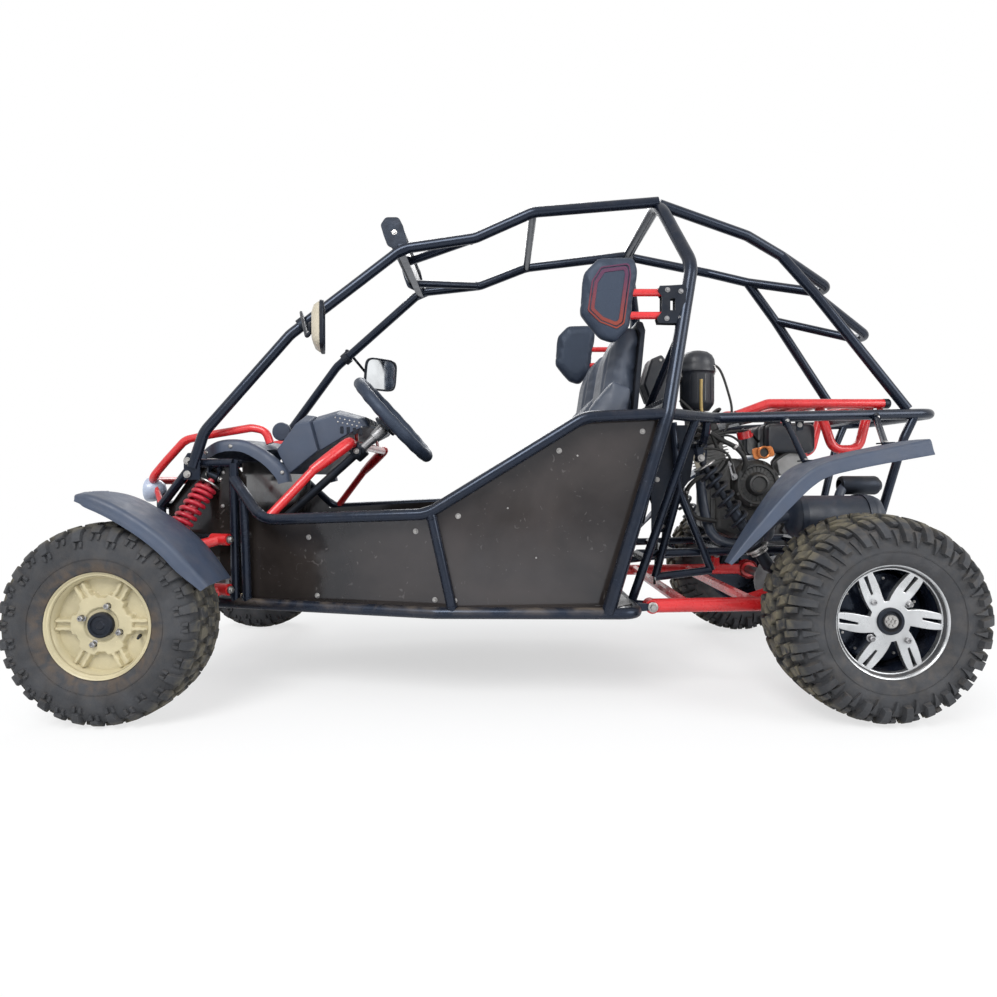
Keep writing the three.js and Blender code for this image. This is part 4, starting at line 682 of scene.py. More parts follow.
def side_band(skin, carcass, low, high):
    """A fine raised ring on both sidewalls."""
    for hand in (1, -1):
        profile = []
        for r in (low, low + 0.4, high - 0.4, high):
            nearest = min((p for p in carcass.line if p.y * hand > 0), key=lambda p: abs(p.x - r))
            profile.append((hand * (abs(nearest.y) + (1.2 if low < r < high else -1.5)), r))
        rings = [[spun(r, v, a) for v, r in profile] for a in turns(64) + [0.0]]
        skin.rings(rings, closed=False, capped=False)


def tyre(wheel, rows_of, name, side, body, material):
    carcass = Carcass(wheel)
    place = wheel_place(wheel, SIDES[side])
    skin = Shape()
    rings = [[spun(p.x, p.y, a) for p in carcass.line] for a in turns(96) + [0.0]]
    skin.rings(rings, closed=False, capped=False)
    side_band(skin, carcass, wheel["bead"] + 11.5, wheel["bead"] + 13.5)
    side_band(skin, carcass, wheel["bead"] + 46, wheel["bead"] + 47.5)
    skin.put(f"{name}_carcass_{side}", material, body=body, sharp=50, replaces=f"{name}_tyre_{side}",
             origin=place)
    blocks = tread(carcass, wheel, rows_of)
    blocks.put(f"{name}_tread_{side}", material, body=body, sharp=30, bevel=1.6, origin=place)


# ---------------------------------------------------------------- rims


def front_rim_height(r, turn):
    """Height of the front rim's face. Six pairs of ribs stand between the hub and the lip."""
    well = 40
    height = well + 31 * step_up(r, 126.5, 6)
    near = (turn + math.pi / 6) % (math.pi / 3) - math.pi / 6
    offset = abs(r * math.sin(near))
    rib = 1 - step_up(abs(offset - 10.5), 5.2, 3)
    bridge = (1 - step_up(offset, 8, 4)) * 0.45
    height += 16 * max(rib, bridge) * (1 - step_up(r, 122, 6)) * step_up(r, 60, 6)
    scallop = 82 - 10 * step_up(abs(near), 0.34, 0.1)
    hub = 1 - step_up(r, scallop, 7)
    centre = 1 - step_up(r, 44, 6)
    return max(height, well + 17 * hub) - 6 * centre


def front_rim(side, hand):
    """Painted face, barrel, hub cap, nuts and valve."""
    ride = {"body": f"front_wheel_{side}", "origin": wheel_place(FRONT, hand)}
    axis = (0, hand, 0)
    inner, outer, steps = 30, 134.5, 56
    rings = []
    for r in [inner + (outer - inner) * i / steps for i in range(steps + 1)]:
        rings.append([spun(r, hand * front_rim_height(r, a), a) for a in turns(288)])
    face = Shape().rings(rings, capped=False)
    face.put(f"front_rim_face_{side}", CREAM, sharp=60, replaces=f"front_rim_{side}", **ride)
    turned(f"front_rim_barrel_{side}", CREAM, [
        (70.5, 133.5), (74.5, 136.5), (75.5, 138.5), (74, 139.5), (68, 138), (60, 127), (35, 118), (-35, 118),
        (-60, 127), (-70, 138), (-75.5, 138.5), (-70, 130), (-45, 112), (35, 108),
    ], (0, 0, 0), axis, 96, False, sharp=40, **ride)
    turned(f"front_hub_cap_{side}", SATIN, [
        (20, 33), (62, 33), (66, 30), (66, 24.5), (62, 22.5), (62, 12), (64, 10), (64, 0),
    ], (0, 0, 0), axis, **ride)
    lug_nuts(f"front_lug_nuts_{side}", hand, 52.5, 53, 0.35, ride)
    turned(f"front_valve_{side}", SATIN, [(0, 4.5), (12, 4.5), (13, 3.5), (24, 3.5), (25, 0)],
           mm(-94, hand * 42, -30), (-0.25, hand, -0.1), 16, sharp=38, **ride)


def lug_nuts(name, hand, radius, height, phase, ride):
    nuts = Shape()
    for turn in turns(4, phase):
        spot = spun(radius, hand * height, turn)
        nuts.lathe([(0, 10.5), (3, 10.5), (4, 8.5)], spot, (0, hand, 0), 24)
        nuts.lathe([(3, 8.2), (14, 8.2), (16, 6), (16, 4.2), (12, 4), (12, 0)], spot, (0, hand, 0), 6)
    nuts.put(name, STEEL, bevel=0.6, **ride)


def polar(r, angle):
    """A place on the rear rim's face, where the spokes lean round with the radius."""
    t = (r - 40) / 100
    turn = angle + 0.42 * t - 0.175 * t * t
    return (r * math.cos(turn), r * math.sin(turn))


def between(start, end, steps):
    return [(start + (end - start) * i / steps, i / steps) for i in range(steps + 1)]


def window(middle):
    """The outline of one opening between two spokes."""
    inner, outer, narrow, wide = 52, 135.5, 0.14, 0.385
    sides = []
    for hand in (-1, 1):
        sides.append([polar(r, middle + hand * (narrow + (wide - narrow) * t ** 0.8))
                      for r, t in between(inner, outer, 10)])
    top = [polar(outer, turn) for turn, t in between(middle - wide, middle + wide, 10)[1:-1]]
    return sides[0] + top + sides[1][::-1]


def spoke_slot(middle):
    """The outline of the slot in one spoke."""
    inner, outer, half = 82, 133.5, 0.052
    left = [polar(r, middle - half) for r, t in between(inner, outer, 6)]
    return left + [polar(r, middle + half) for r, t in between(outer, inner, 6)]


def pierced_plate(outlines, thickness, bevel, front):
    """A plate with holes in the wheel's plane, its face at a height, from closed outlines."""
    curve = bpy.data.curves.new("plate", "CURVE")
    curve.dimensions = "2D"
    curve.fill_mode = "BOTH"
    curve.extrude = (thickness / 2 - bevel) / 1000
    curve.bevel_depth = bevel / 1000
    curve.bevel_resolution = 1
    for outline in outlines:
        spline = curve.splines.new("POLY")
        spline.points.add(len(outline) - 1)
        for point, (x, y) in zip(spline.points, outline):
            point.co = (x / 1000, y / 1000, 0, 1)
        spline.use_cyclic_u = True
    holder = added("plate", curve)
    mesh = bpy.data.meshes.new_from_object(holder.evaluated_get(bpy.context.evaluated_depsgraph_get()))
    bpy.data.objects.remove(holder)
    out = math.copysign(1, front)
    middle = (front - out * thickness / 2) / 1000
    vertices = [(v.co.x, middle - out * v.co.z, v.co.y) for v in mesh.vertices]
    shape = Shape().add(vertices, [tuple(p.vertices) for p in mesh.polygons])
    bpy.data.meshes.remove(mesh)
    return shape


def rear_rim(side, hand):
    """Machined face with six spokes, its edge, barrel, hub, cap, nuts and studs."""
    ride = {"body": "rear_axle", "origin": wheel_place(REAR, hand)}
    axis = (0, hand, 0)
    outlines = []
    for r, count in ((141.5, 144), (33, 48)):
        outlines.append([(r * math.cos(a), r * math.sin(a)) for a in turns(count)])
    for middle in turns(6, 0.3):
        outlines += [window(middle), spoke_slot(middle + math.pi / 6)]
    face = pierced_plate(outlines, 16, 1.6, hand * 94)
    face.put(f"rear_rim_face_{side}", ALLOY, sharp=32, replaces=f"rear_rim_{side}", **ride)
    turned(f"rear_rim_edge_{side}", ALLOY, [
        (92, 140.5), (102, 141.8), (106.5, 144.5), (107.5, 147.2), (105.5, 148.8), (100, 147.8), (92, 142.5),
        (92, 140.5),
    ], (0, 0, 0), axis, 120, False, sharp=40, **ride)
    turned(f"rear_rim_barrel_{side}", BLACK, [
        (94, 140), (60, 130), (-60, 126), (-98, 137), (-107, 148.5), (-107, 140), (-90, 128), (-50, 119),
        (30, 119), (34, 110), (34, 50), (50, 46), (50, 0),
    ], (0, 0, 0), axis, 96, False, sharp=40, **ride)
    turned(f"rear_hub_{side}", SATIN, [(40, 36), (94, 36), (99, 34), (99, 27), (92, 23.5), (92, 0)],
           (0, 0, 0), axis, **ride)
    cap = Shape().lathe([(90, 18), (99, 18), (101, 16.5), (101, 0)], (0, 0, 0), axis, 40)
    for turn in turns(6):
        cap.lathe([(0, 4.5), (3.5, 4), (3.5, 0)], spun(10.5, hand * 100.5, turn), axis, 12)
    cap.lathe([(0, 4), (3, 3.5), (3, 0)], mm(0, hand * 100.5, 0), axis, 12)
    cap.put(f"rear_axle_cap_{side}", ZINC, **ride)
    lug_nuts(f"rear_lug_nuts_{side}", hand, 66, 87, 0.84, ride)
    studs = Shape()
    for turn in turns(12, 0.12):
        studs.lathe([(0, 4), (3, 3.5), (3, 0)], spun(104, hand * 34, turn), axis, 12)
    studs.put(f"rear_rim_studs_{side}", ZINC, sharp=38, **ride)


def wheels():
    front_rubber = tyre_look("front_tyre_rubber", FRONT, FRONT["dusty"])
    rear_rubber = tyre_look("rear_tyre_rubber", REAR, REAR["dusty"])
    for side, hand in SIDES.items():
        tyre(FRONT, front_rows, "front", side, f"front_wheel_{side}", front_rubber)
        tyre(REAR, rear_rows, "rear", side, "rear_axle", rear_rubber)
        front_rim(side, hand)
        rear_rim(side, hand)


# ---------------------------------------------------------------- frame tubes

RAIL, HOOP, BRACE = 16.4, 19.4, 13.4  # radii of the round tubes over the frame's flat-sided ones
SILL_Z = 268
SILL = [(1130, 285, SILL_Z), (880, 352, SILL_Z), (262, 512, SILL_Z), (-305, 520, SILL_Z)]
NOSE_TOP = [(1130, 300, 560), (1010, 345, 690), (880, 370, 690)]
UPPER_RAIL = [(880, 368, 642), (772, 440, 524), (285, 520, 544), (-154, 520, 815), (-389, 502, 826)]
MAIN_HOOP = [(-218, 520, SILL_Z), (-389, 502, 826), (-479, 420, 1270), (-415, 265, 1513)]
PILLAR_AND_ROOF = [
    (1002, 374, 676), (970, 366, 783), (729, 310, 1086), (391, 258, 1368), (160, 272, 1397),
    (-21, 288, 1472), (-415, 265, 1513),
]
REAR_RAIL = [(-389, 502, 826), (-562, 350, 826), (-1322, 215, 853)]
CRADLE = [(-1246, 229, 849), (-1212, 225, 773), (-1120, 200, 420), (-360, 200, 400)]
REAR_STAY = [(-418, 262, 1507), (-716, 207, 1427), (-846, 157, 1378), (-1057, 34, 1308)]
REAR_LEG = [(-846, 157, 1378), (-958, 176, 1238), (-1225, 222, 866)]
LOWER_LOOP = [(-958, 176, 1238), (-1194, 34, 1140)]
DASH_HOOP = [(758, 442, 525), (620, 372, 690), (545, 318, 752)]
BUMPER = [
    (792, 304, 752), (806, 304, 792), (850, 304, 800), (992, 304, 776), (1054, 304, 763),
    (1113, 300, 700), (1172, 290, 636),
]


def tube(name, route, radius, bend=0, material=BLACK):
    """A round tube over the flat-sided one."""
    path = rounded(route, bend) if bend else route
    Shape().pipe(path, radius, 18).put(name, material, sharp=50)


def frame_loops():
    """Tubes that run across the kart from one side to the other."""
    tube("sill_loop", both_sides(SILL), RAIL, 55, DUSTY_BLACK)
    tube("hoop_round", both_sides(MAIN_HOOP), HOOP, 125)
    tube("rear_rail_loop", both_sides(REAR_RAIL), RAIL, 80)
    tube("rear_stay_loop", both_sides(REAR_STAY), RAIL, 80)
    tube("lower_stay_loop", both_sides(LOWER_LOOP), RAIL - 2, 70)
    tube("roof_cross", both_sides([(-21, 288, 1472)]), BRACE)
    tube("dash_hoop_round", both_sides(DASH_HOOP), BRACE, 65, RED)
    tube("bumper_round", both_sides(BUMPER), 12.4, 50, RED)


def frame_sides(side, hand):
    """Tubes of one side, along their routes or between two of them."""
    for name, table, radius, bend in (
        ("upper_rail_round", UPPER_RAIL, RAIL, 100),
        ("pillar_and_roof", PILLAR_AND_ROOF, RAIL, 100),
        ("nose_top", NOSE_TOP, BRACE, 65),
        ("nose_front", [(1130, 285, SILL_Z), (1130, 300, 560)], BRACE, 0),
        ("nose_upright", [(880, 352, SILL_Z), (880, 370, 690)], BRACE, 0),
        ("cradle", CRADLE, BRACE, 65),
        ("rear_leg", REAR_LEG, RAIL, 60),
        ("bulkhead_tube", [(-495, 411, 826), (-315, 348, SILL_Z)], BRACE, 0),
    ):
        tube(f"{name}_{side}", one_side(table, hand), radius, bend)
    for name, low, low_x, high, high_x, radius, material in (
        ("divider", UPPER_RAIL, 275, SILL, 213, BRACE + 1, BLACK),
        ("front_upright", UPPER_RAIL, 842, SILL, 842, BRACE, BLACK),
        ("bumper_stay", BUMPER, 1000, NOSE_TOP, 1000, 8.2, RED),
    ):
        ends = [crossing(low, low_x, hand), crossing(high, high_x, hand)]
        tube(f"{name}_{side}", ends, radius, 0, material)
    tube(f"roof_fork_{side}", [at(391, 128, 1366, hand), crossing(PILLAR_AND_ROOF, 160, hand)], BRACE)
    tube(f"seat_brace_{side}", [crossing(MAIN_HOOP, -438, hand), at(-396, 200, 866, hand)], 12)


def welds():
    """Raised beads round the ends of five tubes on each side."""
    beads = Shape()
    for hand in SIDES.values():
        for table, station, radius, toward in (
            (UPPER_RAIL, 275, 14.4, crossing(SILL, 213, hand)),
            (SILL, 213, 14.4, crossing(UPPER_RAIL, 275, hand)),
            (UPPER_RAIL, 842, 13.4, crossing(SILL, 842, hand)),
            (SILL, 842, 13.4, crossing(UPPER_RAIL, 842, hand)),
            (PILLAR_AND_ROOF, 160, 13.4, at(391, 128, 1366, hand)),
        ):
            place = crossing(table, station, hand)
            axis = (toward - place).normalized()
            profile = [(-4, radius - 1), (-2, radius + 2.2), (2, radius + 2.2), (4, radius - 1)]
            beads.lathe(profile, place + axis * 0.0175, axis, 20)
    beads.put("welds", BLACK, sharp=38)


# ---------------------------------------------------------------- suspension

# Places of the two eyes, radii of coil, wire and damper body, turns, free length past the spring, looks
# and direction of the pins.
FRONT_SHOCK = {"name": "front_shock", "top": (950, 340, 650), "bottom": (1045, 428, 463), "coil": 25.5,
               "wire": 6.6, "turns": 8.5, "body": 15, "tail": 0, "spring": SPRING_RED, "damper": SPRING_RED,
               "pin": (1, 0, 0)}
REAR_SHOCK = {"name": "rear_shock", "top": (-545, 268, 706), "bottom": (-768, 296, 345), "coil": 29,
              "wire": 6.2, "turns": 9, "body": 19, "tail": 70, "spring": SATIN, "damper": SATIN,
              "pin": (0, 1, 0)}


def coil_spring(unit, top, down, low, high):
    """A helix between two seats, with its end turns drawn closer."""
    across, up = frame_of(down)
    steps = int(unit["turns"] * 24)
    wire = unit["wire"]
    route = []
    for i in range(steps + 1):
        share = i / steps
        turn = share * unit["turns"] * 2 * math.pi
        eased = share - 0.035 * math.sin(2 * math.pi * share)
        reach = low + wire + (high - low - 2 * wire) * eased
        aside = unit["coil"] * (across * math.cos(turn) + up * math.sin(turn))
        route.append(top + (down * reach + aside) / 1000)
    return Shape().pipe(route, wire, 12)


def shock(unit, side, hand):
    """Coil-over unit: spring, damper, two spring seats with threaded rings, eyes and bolts."""
    name, body = unit["name"], unit["body"]
    top, bottom = at(*unit["top"], hand), at(*unit["bottom"], hand)
    down = (bottom - top).normalized()
    length = (bottom - top).length * 1000
    low, high = 30, length - 30 - unit["tail"]
    spring = coil_spring(unit, top, down, low, high)
    spring.put(f"{name}_spring_{side}", unit["spring"], replaces=f"{name}_{side}", sharp=50)
    damper = Shape()
    damper.lathe([(12, 9), (low - 4, 11), (length * 0.55, 11), (length * 0.55, 8)], top, down, 28)
    damper.lathe([(length * 0.42, body), (length - 28, body), (length - 20, body * 0.7), (length - 10, 8)],
                 top, down, 32)
    damper.put(f"{name}_damper_{side}", unit["damper"], "steel")
    rim = unit["coil"] + unit["wire"] + 1.5
    seats = Shape()
    seats.lathe([(low - 6, body * 0.8), (low - 5, rim - 2), (low - 3, rim), (low, rim), (low + 1, rim - 3),
                 (low + 1, body * 0.6)], top, down, 36)
    for start, end, reach in ((0, 6, rim), (6, 13, body + 8), (15, 21, body + 8)):
        place = top + down * (high + (start + end) / 2) / 1000
        seats.collar((end - start) / 2, body * 0.9, reach, place, down, 36)
    seats.put(f"{name}_seats_{side}", ZINC, bevel=0.6)
    pin = Vector(unit["pin"])
    pin = (pin - down * pin.dot(down)).normalized()
    eyes, bolts = Shape(), Shape()
    for place in (top, bottom):
        eyes.collar(15, 5.5, 12, place, pin)
        for end in (1, -1):
            bolts.bolt(place + pin * end * 0.0215, pin * end, 7.5)
    eyes.put(f"{name}_eyes_{side}", SATIN)
    bolts.put(f"{name}_bolts_{side}", ZINC)


ARM_STATIONS = (1082, 916)
ARM_Z = {"upper": 462, "lower": 312}
BALL_Z = {"upper": 393, "lower": 232}
KINGPIN_Y = 490
KINGPIN_X = FRONT["station"]


def nose_half_width(station, z):
    """Half the nose's width, from the sill up to its top tube."""
    low = crossing(SILL, station).y
    high = crossing([(1130, 300, 560), (880, 370, 690)], station).y
    return 1000 * (low + (high - low) * (z - SILL_Z) / (690 - SILL_Z))


def arm_pivots(which, hand):
    z = ARM_Z[which]
    return [at(x, nose_half_width(x, z) + 29, z, hand) for x in ARM_STATIONS]


def arm(which, side, hand):
    """An A-arm: two tubes from a welded ball housing to bushes on the nose."""
    ball = at(KINGPIN_X, KINGPIN_Y, BALL_Z[which], hand)
    up = 1 if which == "upper" else -1
    lifted = ball + mm(0, 0, 13 * up)
    tubes, metal = Shape(), Shape()
    pivots = arm_pivots(which, hand)
    axis = (pivots[0] - pivots[1]).normalized()
    for pivot in pivots:
        tubes.pipe([lifted, pivot.lerp(lifted, 0.5), pivot], 15.5)
        tubes.collar(28, 16.5, 17.5, pivot, axis, 24)
        for end in (1, -1):
            metal.bolt(pivot + axis * end * 0.034, axis * end, 8)
            metal.lathe([(0, 11), (1.5, 11)], pivot + axis * end * 0.0285, axis * end, 20)
    tubes.lathe([(-11.5, 14), (-10.5, 16.5), (10.5, 16.5), (11.5, 14)], ball, (0, 0, 1), 28)
    rise = mm(0, 0, 7.8 * up)
    tubes.slab([pivots[0].lerp(ball, 0.72) + rise, pivots[1].lerp(ball, 0.78) + rise, ball + rise], 4)
    tubes.put(f"{which}_arm_tubes_{side}", RED, sharp=45, replaces=f"{which}_arm_{side}")
    metal.put(f"{which}_arm_bolts_{side}", ZINC)
    boot = [(0, 8), (4, 12.5), (10, 10), (14, 12), (16, 8)]
    turned(f"{which}_ball_boot_{side}", HOSE, boot, ball, (0, 0, -up), 24, sharp=38)


def shock_mount(side, hand):
    """The cross tube on the upper arm with two ears for the shock absorber."""
    mount = at(*FRONT_SHOCK["bottom"], hand)
    ball = at(KINGPIN_X, KINGPIN_Y, BALL_Z["upper"], hand) + mm(0, 0, 13)
    ends = [p.lerp(ball, (mount.y - p.y) / (ball.y - p.y)) for p in arm_pivots("upper", hand)]
    base = Shape().pipe(ends, 13.5)
    foot = (ends[0].z - mount.z) * 1000 - 4
    for x in (17.8, -17.8):
        ear = [mm(x, y, z) for y, z in ((-16, foot), (16, foot), (12, 8), (0, 13), (-12, 8))]
        base.slab([mount + corner for corner in ear], 4)
    base.put(f"shock_mount_{side}", RED)


def swing_arm(side, hand):
    """One leg from its pivot to the axle's bearing."""
    start, end = at(-364, 398, 268, hand), at(REAR["station"], 388, REAR["radius"], hand)
    leg = Shape().pipe([start, start.lerp(end, 0.5), end], 20.8, 24)
    leg.collar(22, 16.5, 20.5, start, (0, 1, 0))
    leg.put(f"swing_arm_leg_{side}", RED, sharp=45)
    bearing = [(-20, 30), (-20, 36.5), (20, 36.5), (20, 30), (14, 29), (14, 21)]
    turned(f"axle_bearing_{side}", RED, bearing, end, (0, hand, 0), 36, False)
    bolts = Shape()
    for way in (1, -1):
        bolts.bolt(start + mm(0, way * 31, 0), (0, way, 0), 10)
    bolts.put(f"swing_arm_bolt_{side}", ZINC)

# ---------------------------------------------------------------- fenders and cowl

# Rows of (x, z, width share, depth share).
FRONT_FENDER = [
    (1172, 602, 0.72, 0.5), (1130, 603, 0.95, 0.9), (1075, 584, 1, 1), (1020, 554, 1, 1),
    (963, 516, 1, 1), (914, 475, 1, 1), (872, 428, 0.98, 0.95), (826, 370, 0.86, 0.6),
]
REAR_FENDER = [
    (-522, 420, 0.20, 0.25), (-566, 478, 0.34, 0.6), (-612, 534, 0.48, 0.85), (-668, 599, 0.64, 1.0),
    (-722, 652, 0.80, 1.05), (-772, 682, 0.90, 1.05), (-840, 702, 0.95, 1.1), (-930, 722, 0.95, 1.15),
    (-1055, 748, 0.9, 1.25),
]
COWL = [
    (1020, 708, 0.86, 0.6), (1000, 733, 0.90, 0.9), (960, 752, 0.95, 1), (916, 761, 1, 1),
    (862, 757, 1, 1), (812, 733, 1, 1),
]
COWL_SIDE = [
    (1020, 708, 1, 0.5), (1000, 733, 1, 0.9), (960, 752, 1, 1), (916, 761, 1, 1), (862, 757, 1, 1),
    (812, 733, 1, 1), (771, 702, 1, 1), (738, 663, 1, 1), (729, 634, 1, 0.9),
]


def stations(table):
    """A smooth run of the table's rows, each with the upward normal in the side view."""
    curve = smooth_curve(table, 6)
    for i, row in enumerate(curve):
        before, after = curve[max(i - 1, 0)], curve[min(i + 1, len(curve) - 1)]
        dx, dz = after[0] - before[0], after[1] - before[1]
        scale = math.copysign(1 / math.hypot(dx, dz), -dx)
        yield (*row, dz * scale, -dx * scale)


def swept_sheet(shape, table, section, middle, hand, half=0):
    """A section of (half width, height) swept along a table.

    With a half width given, the sheet narrows towards its outer edge instead of its middle.
    """
    rings = []
    for x, z, width, depth, nx, nz in stations(table):
        centre = middle + half * (1 - width)
        ring = []
        for y, h in section:
            rise = h * depth if h < 0 else h
            ring.append(at(x + nx * rise, centre + y * width, z + nz * rise, hand))
        rings.append(ring)
    return shape.rings(rings)


def trough(half, crown, round_off):
    """A crowned sheet with a rounded outer edge, a skirt that flares a little and a short inner lip."""
    skirt, lip, sheet = 34, 10, 3.5
    top = [(-half, -lip), (-half, -3), (-half + 3, 0)]
    width = 2 * half - round_off - 6
    top += [(-half + 3 + width * t, crown * math.sin(math.pi * t * 0.85)) for t in (0.2, 0.45, 0.7)]
    corner_y, corner_z = half - round_off, crown * 0.2 - round_off
    edge = [math.radians(90 - 15 * i) for i in range(7)]
    top += [(corner_y + round_off * math.cos(a), corner_z + round_off * math.sin(a)) for a in edge]
    top += [(half + 1, -skirt * 0.7), (half + 4, -skirt + 2), (half + 3, -skirt)]
    inner = [(half, -skirt), (half - sheet, -skirt * 0.7), (half - sheet, corner_z)]
    inner += [(corner_y, corner_z + round_off - sheet), (0, crown - sheet), (-half + sheet + 2, -sheet)]
    return top + inner + [(-half + sheet, -lip)]


def front_fender(side, hand):
    """The fender that steers with its wheel, on two bolts."""
    body = f"knuckle_{side}"
    skin = swept_sheet(Shape(), FRONT_FENDER, trough(92, 7, 14), 608, hand)
    skin.put(f"front_fender_skin_{side}", PLASTIC, body=body, sharp=50, replaces=f"front_fender_{side}")
    places = [at(1151, y, 606, hand) for y in (560, 640)]
    bolted(f"front_fender_bolts_{side}", places, (0.1, 0, 1), 7, kind=Shape.button, body=body)


def rear_fender(side, hand):
    """The fender and its two struts from the rear rail."""
    skin = swept_sheet(Shape(), REAR_FENDER, trough(98, 2, 9), 522, hand, half=98)
    skin.put(f"rear_fender_skin_{side}", PLASTIC, sharp=50, replaces=f"rear_fender_{side}")
    struts, bolts = Shape(), Shape()
    for rail, foot in ((-792, (-800, 446, 690)), (-1104, (-1030, 446, 741))):
        top, foot = crossing(REAR_RAIL, rail, hand), at(*foot, hand)
        down = (foot - top).normalized()
        struts.pipe([top, top.lerp(foot, 0.5), foot], 9.5, 16)
        struts.lathe([(10, 0), (10, 12.5), (34, 12.5), (34, 0)], top, down, 20)
        tab = ((16, -20, 4), (16, 14, 4), (-20, 14, 6), (-20, -20, 6))
        struts.slab([foot + mm(x, y * hand, z) for x, y, z in tab], 4)
        bolts.bolt(top + down * 0.022 + mm(0, 12.5 * hand, 0), (0, hand, 0.2), 4.5)
        bolts.button(foot + mm(0, 4 * hand, 8), (0, 0, 1), 6)
    struts.put(f"rear_fender_struts_{side}", BLACK, sharp=45)
    bolts.put(f"rear_fender_bolts_{side}", ZINC)


def cowl():
    """The bowed deck with a raised band down each side, and its bolts."""
    skin, bolts = Shape(), Shape()
    deck = [(-306, -2), (-200, 5), (0, 9), (200, 5), (306, -2)]
    deck += [(y, h - 3) for y, h in deck[::-1]]
    swept_sheet(skin, COWL, deck, 0, 1)
    band = [(-22, 0), (6, 3), (16, 0), (21, -6), (23, -16), (23, -34), (20, -34), (19.5, -16), (16, -7),
            (5, -1), (-22, -4)]
    for hand in SIDES.values():
        rings = []
        for x, z, _, depth, nx, nz in stations(COWL_SIDE):
            middle = 308 - 44 * step_up(x, 985, 90)
            rings.append([at(x + nx * h * depth, middle + y, z + nz * h * depth, hand) for y, h in band])
        skin.rings(rings)
        for x, y, z in ((985, 318, 723), (905, 331, 742), (747, 331, 662)):
            bolts.button(at(x, y, z, hand), (0, hand, 0))
    skin.put("cowl_skin", PLASTIC, sharp=50, replaces="front_cowl")
    bolts.put("cowl_bolts", ZINC)


# ---------------------------------------------------------------- dashboard

# Corners of (x, z) round the dashboard, at its middle and at its chamfered ends.
DASH_FULL = [
    (781, 734), (702, 846), (672, 843), (598, 864), (516, 842), (500, 810), (574, 776), (650, 731),
    (742, 656),
]
DASH_EDGE = [
    (781, 732), (722, 814), (678, 822), (600, 846), (534, 832), (512, 808), (576, 775), (651, 730),
    (743, 656),
]
FRONT_LOBE, REAR_LOBE = (0, 1, 2, 7, 8), (2, 3, 4, 5, 6, 7)
PANEL_TOP = at(516, 0, 842)
PANEL_DOWN = (at(500, 0, 810) - PANEL_TOP).normalized()
PANEL_OUT = Vector((0, 1, 0)).cross(PANEL_DOWN).normalized()


def on_panel(y, down, out):
    """A place on the switch panel that faces the seats."""
    return PANEL_TOP + mm(0, y, 0) + (PANEL_DOWN * down + PANEL_OUT * out) / 1000


def panel_blocks(shape, y, down, levels):
    """A stepped block on the panel. Levels are (out, half width, half height)."""
    corners = ((-1, -1), (1, -1), (1, 1), (-1, 1))
    return shape.rings([[on_panel(y + w * i, down + h * j, out) for i, j in corners] for out, w, h in levels])


def dashboard():
    """Front lobe, instrument lobe, studs and switches on both."""
    skin = Shape()
    for lobe, reach in ((FRONT_LOBE, 280), (REAR_LOBE, 258)):
        chamfer = ((-reach, DASH_EDGE), (52 - reach, DASH_FULL), (reach - 52, DASH_FULL), (reach, DASH_EDGE))
        skin.rings([[at(corners[i][0], y, corners[i][1]) for i in lobe] for y, corners in chamfer])
    skin.put("dash_skin", PLASTIC, sharp=18, bevel=4, replaces="dashboard")
    studs = [at(x - 15 * i, 257.5, z - 3.2 * i) for x, z in ((602, 836), (594, 822)) for i in range(6)]
    bolted("dash_studs", studs, (0, 1, 0), 2.8, kind=Shape.button)
    switches = Shape()
    for i in range(4):
        switches.block(at(586 - 20 * i, 256, 786 - 2 * i), at(576 - 20 * i, 260.5, 808 - 2 * i))
    switches.put("dash_side_switches", SATIN, "plastic", sharp=30, bevel=1)
    plate = panel_blocks(Shape(), 137.5, 17, ((0.5, 87.5, 14), (3, 87.5, 14)))
    plate.put("switch_plate", SATIN, "plastic", bevel=0.8)
    rockers = Shape()
    for i in range(5):
        height = 10 if i % 2 else 8
        panel_blocks(rockers, 68 + i * 34, 17, ((2, 10, 9.5), (6, 10, 9.5), (height, 8, 3.5)))
    rockers.put("rocker_switches", SATIN, "plastic", sharp=30, bevel=0.8)
    screws = [on_panel(55 + i * 33, 5.5, 3) for i in range(6)]
    bolted("panel_screws", screws, PANEL_OUT, 2.2, kind=Shape.button)
    turned("gauge_ring", SATIN, [(0, 34), (10, 34), (13, 31), (10, 28), (10, 0)], on_panel(-20, 16, 0),
           PANEL_OUT, 40, slot="plastic")
    turned("gauge_glass", LENS, [(0, 27.5), (0.5, 27.5), (0.5, 0)], on_panel(-20, 16, 10.2), PANEL_OUT, 40)


def horn():
    turned("horn", PLASTIC, [(-22, 10), (-20, 24), (-4, 30), (10, 31), (16, 28), (17, 0)], at(812, 120, 800),
           (0, 1, 0), 36, sharp=40)
    stalk = Shape().pipe(rounded([at(812, 100, 800), at(812, 80, 770), at(812, 60, 745)], 20), 6, 12)
    stalk.put("horn_stalk", STEEL, sharp=38)


# ---------------------------------------------------------------- steering wheel and column

WHEEL_CENTRE = at(418, 250, 829)
WHEEL_AXIS = Vector((-math.cos(math.radians(42)), 0, math.sin(math.radians(42))))
WHEEL_UP = Vector((0, 1, 0)).cross(WHEEL_AXIS).normalized()


def rim_way(turn):
    """The direction from the steering wheel's centre to its rim."""
    return Vector((0, math.cos(turn), 0)) + WHEEL_UP * math.sin(turn)


def on_wheel(radius, turn, out=0):
    return WHEEL_CENTRE + (radius * rim_way(turn) + WHEEL_AXIS * out) / 1000


